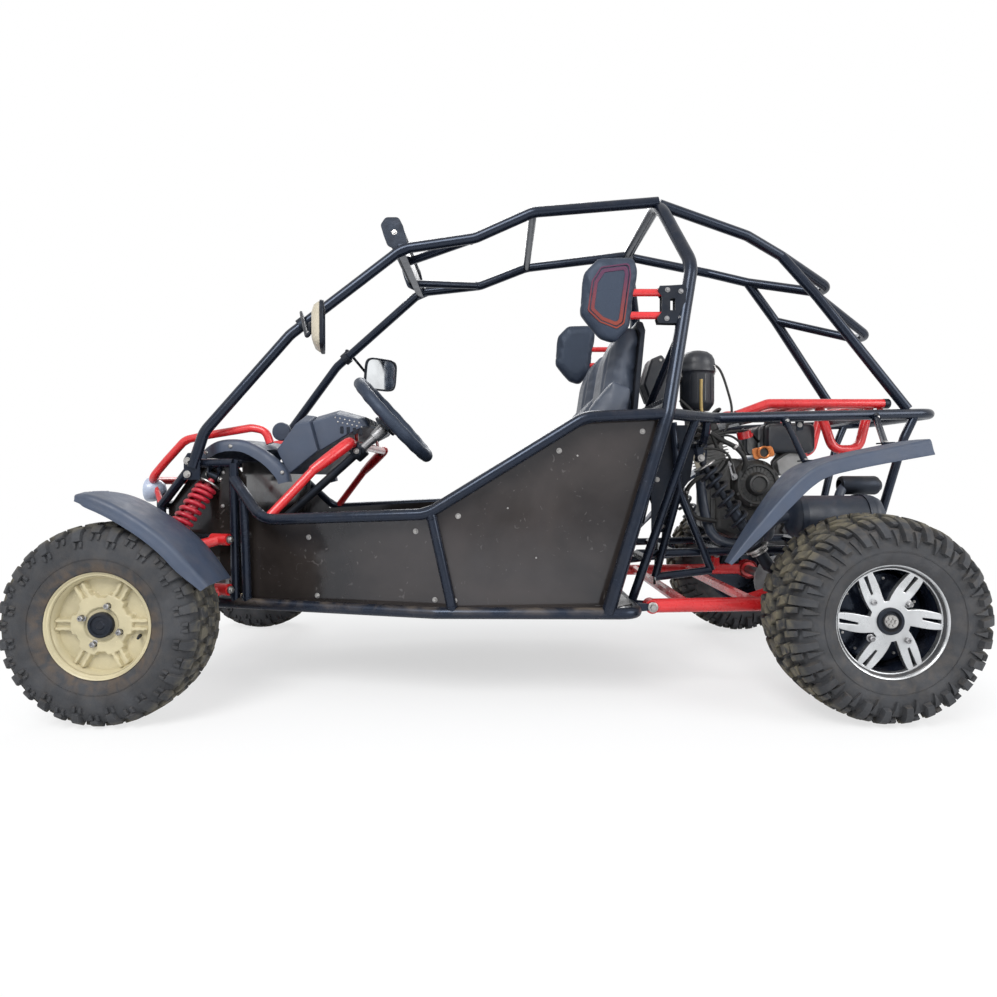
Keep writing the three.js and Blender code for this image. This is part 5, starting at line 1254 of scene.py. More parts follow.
def steering_wheel():
    """Grip with finger waves, three dished spokes round a hub, and six bolts."""
    rings = []
    for turn in turns(120) + [2 * math.pi]:
        thick = 16.5 - 0.6 * math.cos(18 * turn)
        around = [(thick * math.cos(a), 1.12 * thick * math.sin(a)) for a in turns(20)]
        rings.append([on_wheel(155.5 + aside, turn, out) for aside, out in around])
    grip = Shape().rings(rings, capped=False)
    grip.put("wheel_grip", VINYL, body="steering_wheel", sharp=50, replaces="steering_wheel")
    spokes = Shape()
    for turn in turns(3, math.pi / 2):
        aside = rim_way(turn + math.pi / 2)
        rings = []
        for share in [i / 8 for i in range(9)]:
            half = 19 - 7 * math.sin(math.pi * share)
            middle = on_wheel(30 + 118 * share, turn, 26 * share * share - 26)
            section = ((-half, -2.5), (half, -2.5), (half, 1), (half - 4, 2.5), (4 - half, 2.5), (-half, 1))
            rings.append([middle + (aside * w + WHEEL_AXIS * h) / 1000 for w, h in section])
        spokes.rings(rings)
    spokes.lathe([(-38, 30), (-36, 36), (-20, 36), (-14, 28), (-10, 0)], WHEEL_CENTRE, WHEEL_AXIS, 40)
    spokes.put("wheel_spokes", SATIN, body="steering_wheel", bevel=1)
    bolts = [on_wheel(23.5, turn, -13.5) for turn in turns(6)]
    bolted("wheel_bolts", bolts, WHEEL_AXIS, 3.5, kind=Shape.button, body="steering_wheel", sharp=38)


def steering_column():
    """The column turns with the wheel. Its bearing and clamp stay on the dash hoop."""
    column = Shape().lathe([(-130, 13.3), (-40, 13.3)], WHEEL_CENTRE, WHEEL_AXIS, 28)
    column.lathe([(-85, 13), (-83, 19), (-45, 20), (-40, 16)], WHEEL_CENTRE, WHEEL_AXIS, 28)
    column.put("steering_column_top", STEEL, body="steering_wheel", sharp=40)
    turned("steering_column_tube", SATIN, [(-668, 13.1), (-128, 13.1)], WHEEL_CENTRE, WHEEL_AXIS, 28,
           slot="steel", body="steering_wheel", sharp=40)
    turned("column_bearing", SATIN, [(-169, 14.5), (-169, 26.5), (-165, 28), (-135, 28), (-131, 26.5),
                                     (-131, 14.5)], WHEEL_CENTRE, WHEEL_AXIS, 36, False)
    clamp, bolts = Shape(), Shape()
    middle = WHEEL_CENTRE - WHEEL_AXIS * 0.15
    for way in (1, -1):
        clamp.block(middle + mm(-14, 30 * way - 6, -12), middle + mm(14, 30 * way + 6, 12))
        bolts.bolt(middle + mm(0, 36 * way, 0), (0, way, 0), 6)
    clamp.put("column_clamp", SATIN, sharp=30, bevel=2)
    bolts.put("clamp_bolts", ZINC)


# ---------------------------------------------------------------- seats

# Side views of the seat's pads and shell, as (x, z).
CUSHION = [(246, 352), (268, 388), (244, 430), (60, 424), (-96, 398), (-104, 352)]
BACK = [(-136, 400), (-172, 452), (-264, 1060), (-290, 1096), (-318, 1096), (-330, 1066), (-312, 850),
        (-240, 400)]
BOLSTER = [(-122, 412), (-62, 502), (-86, 660), (-180, 852), (-246, 928), (-298, 904), (-226, 422)]
THIGH = [(246, 360), (264, 400), (236, 446), (-60, 440), (-110, 400), (-100, 352)]
SEAT_SHELL = [(-110, 340), (-236, 340), (-252, 404), (-324, 850), (-346, 1080), (-338, 1104), (-322, 1108),
              (-316, 1096), (-330, 1070), (-308, 850), (-232, 400), (-110, 396)]
SEAT_Y = 250


def applied(made):
    """Works the object's modifiers into its mesh."""
    bpy.context.view_layer.update()
    result = bpy.data.meshes.new_from_object(made.evaluated_get(bpy.context.evaluated_depsgraph_get()))
    made.modifiers.clear()
    made.data = result


def smoothed(pad, name, times):
    smooth = pad.modifiers.new(name, "SMOOTH")
    smooth.factor = 0.5
    smooth.iterations = times
    applied(pad)


def blown_up(pad, cap):
    """Swells the pad by cloth under pressure. No point moves further than the cap, in mm."""
    before = [v.co.copy() for v in pad.data.vertices]
    cloth = pad.modifiers.new("cloth", "CLOTH")
    cloth.settings.use_pressure = True
    cloth.settings.uniform_pressure_force = 4.0
    cloth.settings.effector_weights.gravity = 0
    cloth.settings.tension_stiffness = 12
    cloth.settings.bending_stiffness = 2
    cloth.settings.quality = 4
    cloth.collision_settings.use_collision = False
    for step in range(1, 13):
        bpy.context.scene.frame_set(step)
    settled = pad.evaluated_get(bpy.context.evaluated_depsgraph_get())
    after = [v.co.copy() for v in settled.data.vertices]
    pad.modifiers.clear()
    bpy.context.scene.frame_set(1)
    for vertex, start, end in zip(pad.data.vertices, before, after):
        move = end - start
        if move.length > cap / 1000:
            move *= cap / 1000 / move.length
        vertex.co = start + move


def sewn(pad, seams):
    """Presses channels into a pad. A seam is (axis, place): the plane that the stitches run in."""
    width, depth = 0.0075, 0.0055
    moves = []
    for vertex in pad.data.vertices:
        pull = max((math.exp(-((vertex.co[axis] - place) / width) ** 2) for axis, place in seams), default=0)
        moves.append(vertex.normal * depth * pull)
    for vertex, move in zip(pad.data.vertices, moves):
        vertex.co -= move


def inflated(name, shape, material, cap, voxel=6, replaces=None, seams=()):
    """A padded piece: the shape is remeshed finely, blown up by cloth and sewn."""
    pad = added(name, shape.mesh(name))
    remesh = pad.modifiers.new("remesh", "REMESH")
    remesh.mode = "VOXEL"
    remesh.voxel_size = voxel / 1000
    smoothed(pad, "soften", 6)
    blown_up(pad, cap)
    smoothed(pad, "smoothing", 4)
    sewn(pad, seams)
    pad.data.materials.append(material)
    pad.data.shade_smooth()
    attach(pad, "chassis")
    if replaces:
        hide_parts(replaces)


def seat(side, hand):
    """Cushion, back, two bolsters and two thigh pads in a moulded shell."""
    low, high = SEAT_Y - 140, SEAT_Y + 140
    columns = [(1, hand * (SEAT_Y + y) / 1000) for y in (-92, 92)]
    rows = [(0, (x - MIDDLE_X) / 1000) for x in (150, 40)]
    inflated(f"seat_cushion_{side}", Shape().plate(CUSHION, low, high, hand), SEAT_VINYL, 16,
             replaces=f"seat_{side}", seams=columns + rows)
    rows = [(2, z / 1000) for z in (600, 740, 880)]
    inflated(f"seat_back_{side}", Shape().plate(BACK, low, high, hand), SEAT_VINYL, 18,
             seams=columns + rows)
    for name, way in (("inner", -1), ("outer", 1)):
        low, high = sorted((SEAT_Y + way * 146, SEAT_Y + way * 200))
        inflated(f"seat_bolster_{name}_{side}", Shape().plate(BOLSTER, low, high, hand), SEAT_VINYL, 14)
        inflated(f"seat_thigh_{name}_{side}", Shape().plate(THIGH, low, high, hand), SEAT_VINYL, 12)
    shell = Shape().plate(SEAT_SHELL, SEAT_Y - 160, SEAT_Y + 160, hand)
    shell.block(at(-200, SEAT_Y - 150, 285.5, hand), at(220, SEAT_Y + 150, 345, hand))
    shell.put(f"seat_shell_{side}", SATIN, "vinyl", sharp=40, bevel=4)


# ---------------------------------------------------------------- shoulder pads

PAD = [(-199, 1276), (-303, 1280), (-314, 1240), (-290, 1078), (-248, 1032), (-205, 1046), (-147, 1115),
       (-159, 1236)]
PAD_Y, PAD_HALF = 446, 26
INLAY_OUTLINE = [
    (-205, 1247), (-287, 1258), (-292, 1224), (-273, 1085), (-250, 1069), (-202, 1088), (-167, 1122),
    (-179, 1207),
]
# The bracket plate in four parts round its slot.
BRACKET_PARTS = [
    [(-376, 1196), (-406, 1197), (-406, 1089), (-372, 1090), (-368, 1104), (-382, 1122), (-382, 1166),
     (-370, 1182)],
    [(-420, 1198), (-452, 1200), (-448, 1088), (-420, 1089)],
    [(-406, 1197), (-420, 1198), (-420, 1160), (-406, 1160)],
    [(-406, 1126), (-420, 1126), (-420, 1089), (-406, 1089)],
]


def pad_inlay(hand):
    """The inlay on the outer face: two raised rings with a dark gap between them."""
    ring = Shape()
    for start, end in ((0, 5), (7, 19)):
        outer = rounded_outline(shrunk(INLAY_OUTLINE, start), 12)
        inner = rounded_outline(shrunk(INLAY_OUTLINE, end), 10)
        rings = []
        for share, out in ((0, -2.0), (0.1, 3.6), (0.9, 3.6), (1, -2.0)):
            line = [(a + (c - a) * share, b + (d - b) * share) for (a, b), (c, d) in zip(outer, inner)]
            rings.append([at(x, PAD_Y + PAD_HALF + out, z, hand) for x, z in line])
        ring.rings(rings, capped=False)
    return ring


def shoulder_pad(side, hand, inlay):
    """The pad with its inlay, on two red tubes from a bracket on the main hoop."""
    outline = rounded_outline(PAD, 22)
    inset = rounded_outline(shrunk(PAD, 13), 18)
    low, high = PAD_Y - PAD_HALF, PAD_Y + PAD_HALF
    levels = ((inset, low + 4), (outline, low + 14), (outline, high - 12), (inset, high - 2))
    shape = Shape().rings([[at(x, y, z, hand) for x, z in points] for points, y in levels])
    inflated(f"shoulder_pad_{side}", shape, VINYL, 4, voxel=5, replaces=f"shoulder_guard_{side}")
    pad_inlay(hand).put(f"shoulder_pad_inlay_{side}", inlay, sharp=50)
    bars, bracket = Shape(), Shape()
    for z in (1180, 1114):
        bars.pipe([at(x, PAD_Y, z, hand) for x in (-270, -330, -402)], 10.8)
    bars.put(f"shoulder_pad_tubes_{side}", RED, sharp=45)
    for outline in BRACKET_PARTS:
        bracket.plate(outline, PAD_Y - 15.5, PAD_Y - 11.5, hand)
        bracket.plate(outline, PAD_Y + 11.5, PAD_Y + 15.5, hand)
    bracket.put(f"shoulder_pad_bracket_{side}", SATIN)
    corners = ((-398, 1184), (-436, 1180), (-396, 1102), (-436, 1104))
    places = [at(x, PAD_Y + 16, z, hand) for x, z in corners]
    bolted(f"shoulder_pad_bolts_{side}", places, (0, hand, 0), 5, STEEL)


# ---------------------------------------------------------------- headlights, light bar and mirrors


def headlight(side, hand):
    """Bulged shell, reflector bowl, domed lens and bracket."""
    place, forward = at(1188, 250, 608, hand), (1, 0, 0.02)
    turned(f"headlight_shell_{side}", LAMP_SHELL, [
        (-46, 0), (-45, 12), (-38, 24), (-24, 34), (-8, 38), (4, 38.5), (7, 37.5), (7, 34), (0, 33),
    ], place, forward, 44, False, sharp=40, replaces=f"headlight_{side}")
    bowl = [(-20, 0), (-19, 10), (-12, 22), (0, 33.5), (1, 34.5)]
    turned(f"headlight_reflector_{side}", GLASS, bowl, place, forward, 44, False, sharp=60)
    dome = [(12, 0), (11.5, 12), (9, 24), (4.5, 33.5), (3, 33.5), (0, 0)]
    turned(f"headlight_lens_{side}", LENS, dome, place, forward, 44, False, sharp=60)
    bracket = Shape().block(at(1140, 246, 556, hand) - mm(0, 6, 0), at(1166, 252, 600, hand) + mm(0, 6, 0))
    bracket.put(f"headlight_bracket_{side}", SATIN, sharp=30, bevel=1)


BAR_X, BAR_Z = 418, 1424
BAR_END = [(462, 1450), (446, 1474), (404, 1474), (390, 1446), (372, 1374), (404, 1366), (440, 1384),
           (452, 1416)]


def light_bar():
    """Finned housing with a lens over two rows of cells, between two bolted feet."""
    section = [(-21, -22), (-17, -30), (12, -31), (17, -28), (17, 28), (12, 31), (-15, 31), (-21, 24)]
    housing, fins, lens, cells, feet, bolts = (Shape() for _ in range(6))
    housing.rings([
        [at(BAR_X + dx * size, y, BAR_Z + dz * size) for dx, dz in section]
        for y, size in ((-236, 0.9), (-232, 1.0), (232, 1.0), (236, 0.9))
    ])
    for y, _ in between(-225, 225, 29):
        fins.block(at(BAR_X - 27, y - 1.6, BAR_Z - 20), at(BAR_X - 19, y + 1.6, BAR_Z + 22))
    lens.rings([
        [at(BAR_X + dx, y * w, BAR_Z + z * h) for y, z in ((-1, -1), (1, -1), (1, 1), (-1, 1))]
        for dx, w, h in ((17.2, 222, 25), (19.0, 222, 25), (19.0, 218, 21))
    ])
    for row in (-10.5, 10.5):
        for y, _ in between(-212, 212, 17):
            middle = at(BAR_X + 19, y, BAR_Z + row)
            cells.lathe([(0, 9.2), (2.2, 8.8), (3, 6), (2.6, 0)], middle, (1, 0, 0), 16)
    for hand in SIDES.values():
        feet.plate(BAR_END, 238, 244, hand, corner=16)
        feet.block(at(376, 232, 1376, hand), at(406, 250, 1384, hand))
        bolts.bolt(at(418, 243, 1426, hand), (0, hand, 0), 6)
        bolts.bolt(at(390, 243, 1382, hand), (0, hand, 0), 5)
    housing.put("light_bar_housing", SATIN, sharp=30, bevel=1.5, replaces="light_bar")
    fins.put("light_bar_fins", SATIN, sharp=30)
    lens.put("light_bar_lens", LENS, sharp=30)
    cells.put("light_bar_cells", GLASS, sharp=50)
    feet.put("light_bar_feet", SATIN, sharp=30, bevel=1)
    bolts.put("light_bar_bolts", ZINC)


MIRROR_X, MIRROR_Y, MIRROR_Z = 604, 462, 1076
FAR_BACK = 14  # the far mirror sits this much further back
TOE = {1: math.radians(12), -1: math.radians(42)}
# Levels of (half width, half height, out) from the shell's back to the glass, and of the rim.
MIRROR_SHELL = [(20, 16, -16.5), (48, 38, -15), (68, 55, -8), (77, 63, 4), (79.5, 65.5, 13), (79, 65, 16.5),
                (75.5, 61.5, 16.8), (75, 61, 13)]
MIRROR_RIM = [(79, 65, 7.5), (81.5, 67.5, 8.5), (81.8, 67.8, 16.5), (80.5, 66.5, 18.5), (74.5, 60.5, 18),
              (74, 60, 13)]
MIRROR_GLASS = [(75.2, 61.2, 12.8), (75.2, 61.2, 14.5)]


def mirror_rings(centre, across, back, levels):
    """Rounded squares that lean a little outwards at the top."""
    rings = []
    for width, height, out in levels:
        ring = []
        for turn in turns(44):
            c, s = math.cos(turn), math.sin(turn)
            y = math.copysign(abs(c) ** 0.42, c) * width
            z = math.copysign(abs(s) ** 0.42, s)
            ring.append(centre + (across * (y + 6 * z) + back * out) / 1000 + mm(0, 0, z * height))
        rings.append(ring)
    return rings


def mirror(side, hand):
    """Shell, rim, glass and the bent stem that is clamped to the pillar."""
    centre = at(MIRROR_X - (FAR_BACK if hand < 0 else 0), MIRROR_Y, MIRROR_Z, hand)
    back = Vector((-math.cos(TOE[hand]), -hand * math.sin(TOE[hand]), 0))
    across = Vector((back.y, -back.x, 0)) * hand
    shell = Shape().rings(mirror_rings(centre, across, back, MIRROR_SHELL))
    material = BEIGE if hand > 0 else SATIN
    shell.put(f"mirror_shell_{side}", material, "cream", sharp=60, replaces=f"mirror_{side}")
    rim = Shape().rings(mirror_rings(centre, across, back, MIRROR_RIM), capped=False)
    rim.put(f"mirror_rim_{side}", SATIN, sharp=50)
    glass = Shape().rings(mirror_rings(centre, across, back, MIRROR_GLASS))
    glass.put(f"mirror_glass_{side}", GLASS, sharp=30)
    foot = crossing(PILLAR_AND_ROOF, 690, hand)
    route = [foot + mm(0, 0, 4), foot + mm(4, 10 * hand, 40), centre - back * 0.030 - mm(0, 0, 30),
             centre - back * 0.012]
    stem = Shape().pipe(rounded(route, 20), 5.5, 14)
    stem.lathe([(10, 0), (10, 12), (20, 16), (26, 12), (26, 0)], centre, -back, 24)
    stem.collar(12, 19.5, 23.5, foot, crossing(PILLAR_AND_ROOF, 640, hand) - foot, capped=False)
    stem.put(f"mirror_stem_{side}", SATIN, sharp=40)


# ---------------------------------------------------------------- panel bolts and nose sheets


def panel_half_width(x, z):
    """Half width of the outer face of the front side panels."""
    return 330 - 0.25 * (x - 880) + 0.0507 * (z - 268) + 0.5


def rear_panel_half_width(x):
    return 500 + 0.031 * (x - 275) + 0.5


def panel_fixings():
    """Bolts and rivets of the side panels."""
    bolts, rivets = Shape(), Shape()
    for hand in SIDES.values():
        for x, z in ((647, 470), (321, 494), (622, 297), (266, 300)):
            bolts.bolt(at(x, panel_half_width(x, z), z, hand), (0.25, hand, -0.05), 5.5)
        for x, z in ((200, 538), (-322, 777), (-85, 722), (-240, 300), (210, 300)):
            bolts.bolt(at(x, rear_panel_half_width(x), z, hand), (-0.03, hand, 0), 5.5)
        for x, z in ((-137, 708), (60, 560), (-20, 420)):
            rivets.button(at(x, rear_panel_half_width(x), z, hand), (-0.03, hand, 0), 3)
    bolts.put("panel_bolts", ZINC)
    rivets.put("panel_rivets", ZINC)


def footwell_half_width(x, z):
    """Half width of the sheet between the side panel and the nose."""
    return 338 - 0.10 * (x - 880) + 0.04 * (z - 268)


def nose_sheets():
    """Two bolted sheets on each side of the nose. The inner one is painted shade: a dark sheet in the nose's
    shaded inside.
    """
    sheets, bolts = Shape(), Shape()
    footwell = [(846, 300), (884, 290), (934, 392), (934, 560), (926, 690), (884, 688), (846, 648)]
    # A dark sheet behind the front shock: painted shade inside the nose.
    nose = [(930, 404), (1112, 404), (1116, 552), (1016, 676), (930, 682)]
    for hand in SIDES.values():
        inwards = mm(0, -3 * hand, 0)
        places = [at(x, footwell_half_width(x, z), z, hand) for x, z in footwell]
        sheets.rings([[p + inwards for p in places], places])
        places = [at(x, nose_half_width(x, z) - 16, z, hand) for x, z in nose]
        sheets.rings([[p + inwards for p in places], places])
        for x, z in ((918, 662), (922, 560), (922, 470), (900, 340)):
            bolts.button(at(x, footwell_half_width(x, z) + 0.6, z, hand), (0.1, hand, 0), 6)
        for z in (696, 656):
            bolts.bolt(at(1014, 383, z, hand), (0.1, hand, 0.05), 7.5)
    sheets.put("nose_side_and_shade_sheets", PANEL, sharp=30)
    bolts.put("nose_bolts", ZINC)


# ---------------------------------------------------------------- engine

CRANKCASE = [(-640, 470), (-700, 440), (-840, 450), (-868, 560), (-830, 690), (-700, 715), (-640, 640)]
# Levels of (y, inset): rounded ends and three raised joint flanges between them.
CRANKCASE_LEVELS = (
    (-120, 16), (-112, 2), (-60, 0), (-58, 3), (-52, 3), (-50, 0), (0, 0), (2, 3), (8, 3), (10, 0), (60, 0),
    (62, 4), (68, 4), (70, 0), (110, 2), (120, 16),
)
BARREL_FOOT = at(-676, 0, 650)
BARREL_AXIS = (at(-628, 0, 838) - BARREL_FOOT).normalized()
BARREL_ASIDE = Vector((BARREL_AXIS.z, 0, -BARREL_AXIS.x))
ENGINE_LEFT, ENGINE_RIGHT = (0, 1, 0), (0, -1, 0)


def casings():
    """Crankcase, clutch cover with its ribs, flywheel cover and starter casing."""
    crankcase = Shape().cast(CRANKCASE, CRANKCASE_LEVELS, corner=22)
    crankcase.put("crankcase", ENGINE, replaces="engine")
    centre = at(-771, 118, 625)
    cover = Shape().lathe([
        (-4, 82), (12, 82), (20, 79), (28, 74), (34, 66), (34, 60), (28, 57), (30, 40), (42, 36), (50, 32),
        (52, 26), (46, 22), (46, 0),
    ], centre, ENGINE_LEFT, 64)
    for turn in turns(24):
        ahead, aside = mm(math.cos(turn), 0, math.sin(turn)), mm(-math.sin(turn), 0, math.cos(turn))
        corners = ((38, 1.6), (58, 1.6), (58, -1.6), (38, -1.6))
        cover.slab([centre + mm(0, 28, 0) + ahead * out + aside * wide for out, wide in corners], 6)
    cover.put("clutch_cover", ENGINE)
    bolts = Shape()
    for turn in turns(8, math.pi / 10):
        bolts.bolt(centre + mm(73 * math.cos(turn), 29, 73 * math.sin(turn)), ENGINE_LEFT, 5.5, washer=False)
    bolts.put("clutch_cover_bolts", ENGINE, "steel")
    turned("flywheel_cover", CASING, [(-4, 70), (14, 70), (24, 64), (28, 52), (28, 30), (34, 26), (34, 0)],
           at(-760, -118, 600), ENGINE_RIGHT, 56)
    bolts = Shape()
    for turn in turns(7):
        place = at(-760 + 61 * math.cos(turn), -144, 600 + 61 * math.sin(turn))
        bolts.bolt(place, ENGINE_RIGHT, 5, washer=False)
    bolts.put("flywheel_cover_bolts", STEEL)
    starter = [(-856, 652), (-948, 664), (-952, 716), (-876, 738), (-846, 700)]
    casing = Shape().cast(starter, ((60, 0), (64, 0), (116, 0), (120, 0)), corner=10)
    casing.put("starter_casing", CASING, bevel=3)


def on_barrel(along, ahead, aside):
    """A place by the cylinder, in mm along its axis, ahead of it and to the side."""
    return BARREL_FOOT + (BARREL_AXIS * along + BARREL_ASIDE * ahead) / 1000 + mm(0, aside, 0)


def barrel_rings(shape, levels, corner=0.3):
    """Rounded squares round the cylinder's axis. Levels are (height, half width)."""
    rings = []
    for along, half in levels:
        ring = []
        for turn in turns(32):
            c, s = math.cos(turn), math.sin(turn)
            ahead, aside = math.copysign(abs(c) ** corner, c), math.copysign(abs(s) ** corner, s)
            ring.append(on_barrel(along, ahead * half, aside * half))
        rings.append(ring)
    return shape.rings(rings)


def cylinder():
    """Finned barrel and head."""
    barrel = barrel_rings(Shape(), ((-20, 44), (118, 44)))
    for i in range(10):
        foot = 6 + 10.8 * i
        barrel_rings(barrel, ((foot, 52), (foot + 0.6, 56.5), (foot + 3.4, 56.5), (foot + 4, 52)))
    barrel.put("cylinder_fins", CASING)
    levels = ((114, 50), (118, 55), (150, 55), (156, 52), (158, 46), (186, 43), (194, 36))
    barrel_rings(Shape(), levels, 0.36).put("cylinder_head", ENGINE, sharp=40)
    places = [on_barrel(187, 26 * i, 26 * j) for i in (1, -1) for j in (1, -1)]
    bolted("head_bolts", places, BARREL_AXIS, 6, STEEL)


def engine_fittings():
    """Copper flange, red clamp, tab and gear lever."""
    outlet = at(-789, 156, 729)
    flange = Shape().plate([(-748, 742), (-816, 752), (-828, 718), (-758, 706)], 150, 156, corner=12)
    flange.lathe([(0, 21.5), (6, 21.5), (8, 18), (6, 14.5), (-8, 14.5)], outlet, ENGINE_LEFT, 32, False)
    flange.put("header_flange", COPPER)
    opening = [(0.4, 14.8), (1, 14.8), (1, 0)]
    turned("flange_opening", HOSE, opening, outlet, ENGINE_LEFT, 32)
    clamp = Shape().collar(12, 20, 23.5, at(-737, 120, 790), (0.25, 0.1, 1), 32, False)
    clamp.block(at(-764, 112, 784), at(-752, 128, 796))
    clamp.put("red_clamp", RED)
    tab = Shape().plate([(-546, 738), (-596, 728), (-588, 676), (-570, 670)], 150, 153)
    tab.put("engine_tab", BEIGE, sharp=30, bevel=0.8)
    lever = Shape().plate([(-668, 702), (-684, 700), (-700, 642), (-684, 636)], 158, 163, corner=5)
    lever.bolt(at(-690, 163, 650), ENGINE_LEFT, 7)
    lever.bolt(at(-676, 163, 690), ENGINE_LEFT, 5)
    lever.put("gear_lever", STEEL)


# Radius and stations of each hose or cable, and whether clips hold it.
HOSES = [
    (4, False, [(-622, 120, 1030), (-652, 128, 1008), (-676, 134, 940), (-690, 136, 866), (-668, 132, 800),
                (-640, 120, 745)]),
    (4.5, False, [(-806, 60, 770), (-760, 100, 800), (-700, 130, 802), (-640, 130, 790), (-590, 118, 800),
                  (-572, 104, 838)]),
    (3.8, False, [(-440, 170, 320), (-470, 168, 560), (-560, 160, 744), (-660, 148, 786), (-716, 140, 762),
                  (-742, 130, 700)]),
    (4.5, False, [(-560, 120, 780), (-596, 132, 826), (-640, 120, 870), (-668, 80, 878), (-650, 30, 850)]),
    (6, False, [(-520, 130, 905), (-560, 150, 860), (-610, 156, 800), (-640, 150, 740)]),
    (5, False, [(-890, 120, 734), (-850, 146, 716), (-820, 150, 690), (-836, 130, 640)]),
    (8, True, [(-540, 150, 820), (-600, 154, 800), (-650, 158, 770), (-700, 160, 742), (-728, 158, 700),
               (-720, 140, 650)]),
    (7.5, True, [(-660, 150, 700), (-620, 170, 660), (-560, 176, 640), (-528, 170, 590), (-560, 150, 520),
                 (-640, 124, 500)]),
    (4.2, True, [(-420, 190, 300), (-440, 188, 520), (-520, 176, 690), (-590, 166, 740), (-664, 164, 726),
                 (-690, 163, 660)]),
]


def hoses():
    """Hoses and cables, with clips on three of them, and the dipstick's tube."""
    run, clips = Shape(), Shape()
    for radius, clipped, table in HOSES:
        route = smooth_route(table)
        run.pipe(route, radius, 12)
        for share in (0.25, 0.6) if clipped else ():
            i = int(share * (len(route) - 2))
            clips.collar(4, radius * 0.9, radius + 1.8, route[i], route[i + 1] - route[i], 16, False)
    run.put("engine_hoses", HOSE, sharp=60)
    clips.put("hose_clips", ZINC, sharp=40)
    dipstick = smooth_route([(-584, 152, 972), (-583, 153, 920), (-586, 150, 862), (-600, 140, 790)])
    Shape().pipe(dipstick, 5.2, 12).put("yellow_tube", YELLOW, sharp=60)


def carburettor():
    profile = [(-30, 21), (-22, 26), (4, 26), (10, 30), (30, 30), (36, 22), (52, 20)]
    body = Shape().lathe(profile, at(-585, 60, 820), (0, -0.25, 1), 36)
    body.lathe([(0, 18), (38, 18), (42, 14), (42, 0)], at(-585, 60, 812), (-1, 0, 0.1), 28)
    body.put("carburettor", CASING)


# ---------------------------------------------------------------- air filter, snorkel and air box

FILTER_FOOT = at(-585, 96, 872)


def level(turn):
    """A direction on the level, 1 mm long."""
    return mm(math.cos(turn), math.sin(turn), 0)


def air_filter():
    """Ribbed pot with three wire clips round its lid."""
    pot = Shape().lathe([
        (0, 40), (4, 43), (20, 54), (26, 56), (120, 56), (126, 58), (130, 62.5), (140, 62.5), (144, 60),
        (156, 59.5), (172, 57), (186, 50), (197, 36), (202, 18), (203, 0),
    ], FILTER_FOOT, (0, 0, 1), 56)
    for turn in turns(14):
        ahead, aside = level(turn), level(turn + math.pi / 2)
        corners = ((2, 30), (-2, 30), (-2, 118), (2, 118))
        pot.slab([FILTER_FOOT + ahead * 56.2 + aside * wide + mm(0, 0, z) for wide, z in corners], 1.6)
    pot.put("filter_pot", PLASTIC_DARK, sharp=38, replaces="air_filter")
    clips = Shape()
    wire = ((58, 112), (62, 118), (65.5, 132), (64, 146), (59, 148))
    for turn in turns(3, math.radians(20)):
        clips.pipe([FILTER_FOOT + level(turn) * r + mm(0, 0, z) for r, z in wire], 1.6, 8)
    clips.put("filter_clips", ZINC, sharp=40)


def snorkel():
    """A corrugated hose from the filter to the air box."""
    route = [(-566, 96, 985), (-530, 88, 990), (-498, 78, 984), (-470, 68, 966), (-452, 60, 950)]
    places = smooth_route(route)
    rings = []
    for i, place in enumerate(places):
        ahead = (places[min(i + 1, len(places) - 1)] - places[max(i - 1, 0)]).normalized()
        first, second = frame_of(ahead)
        radius = (24.5 + 1.8 * (i % 2)) / 1000
        rings.append([place + (first * math.cos(a) + second * math.sin(a)) * radius for a in turns(24)])
    Shape().rings(rings).put("snorkel", HOSE, "plastic", sharp=60)


def air_box():
    outline = [(-424, 1046), (-462, 1062), (-506, 1000), (-500, 908), (-470, 884), (-420, 902), (-398, 960)]
    levels = ((12, 8), (18, 2), (58, 0), (60, 3), (66, 3), (68, 0), (116, 2), (122, 8))
    Shape().cast(outline, levels, corner=10).put("air_box", PLASTIC_DARK, sharp=38)
    places = [at(x, 120, z) for x, z in ((-484, 916), (-428, 918), (-456, 1040))]
    bolted("air_box_bolts", places, (0, 1, 0), 5.5)
    stay = Shape().pipe([at(-470, 60, 890), at(-492, 60, 858), at(-560, 60, 846)], 7, 14)
    stay.put("air_box_stay", BLACK, sharp=45)


# ---------------------------------------------------------------- exhaust and fuel tank

MUFFLER_PROFILE = [
    (0, 34), (4, 44), (10, 58), (16, 62.5), (20, 66), (26, 66), (29, 64.5), (140, 64.5), (236, 64.5),
    (242, 66), (250, 66), (256, 64), (268, 58), (276, 46), (280, 30), (281, 0),
]
HEADER = [
    (-800, 330, 527), (-772, 322, 522), (-764, 280, 500), (-768, 220, 452), (-700, 160, 424),
    (-628, 112, 462), (-604, 76, 620), (-618, 50, 760),
]
OUTLET = [(-960, 300, 560), (-980, 282, 600), (-1004, 266, 620), (-1020, 262, 622)]


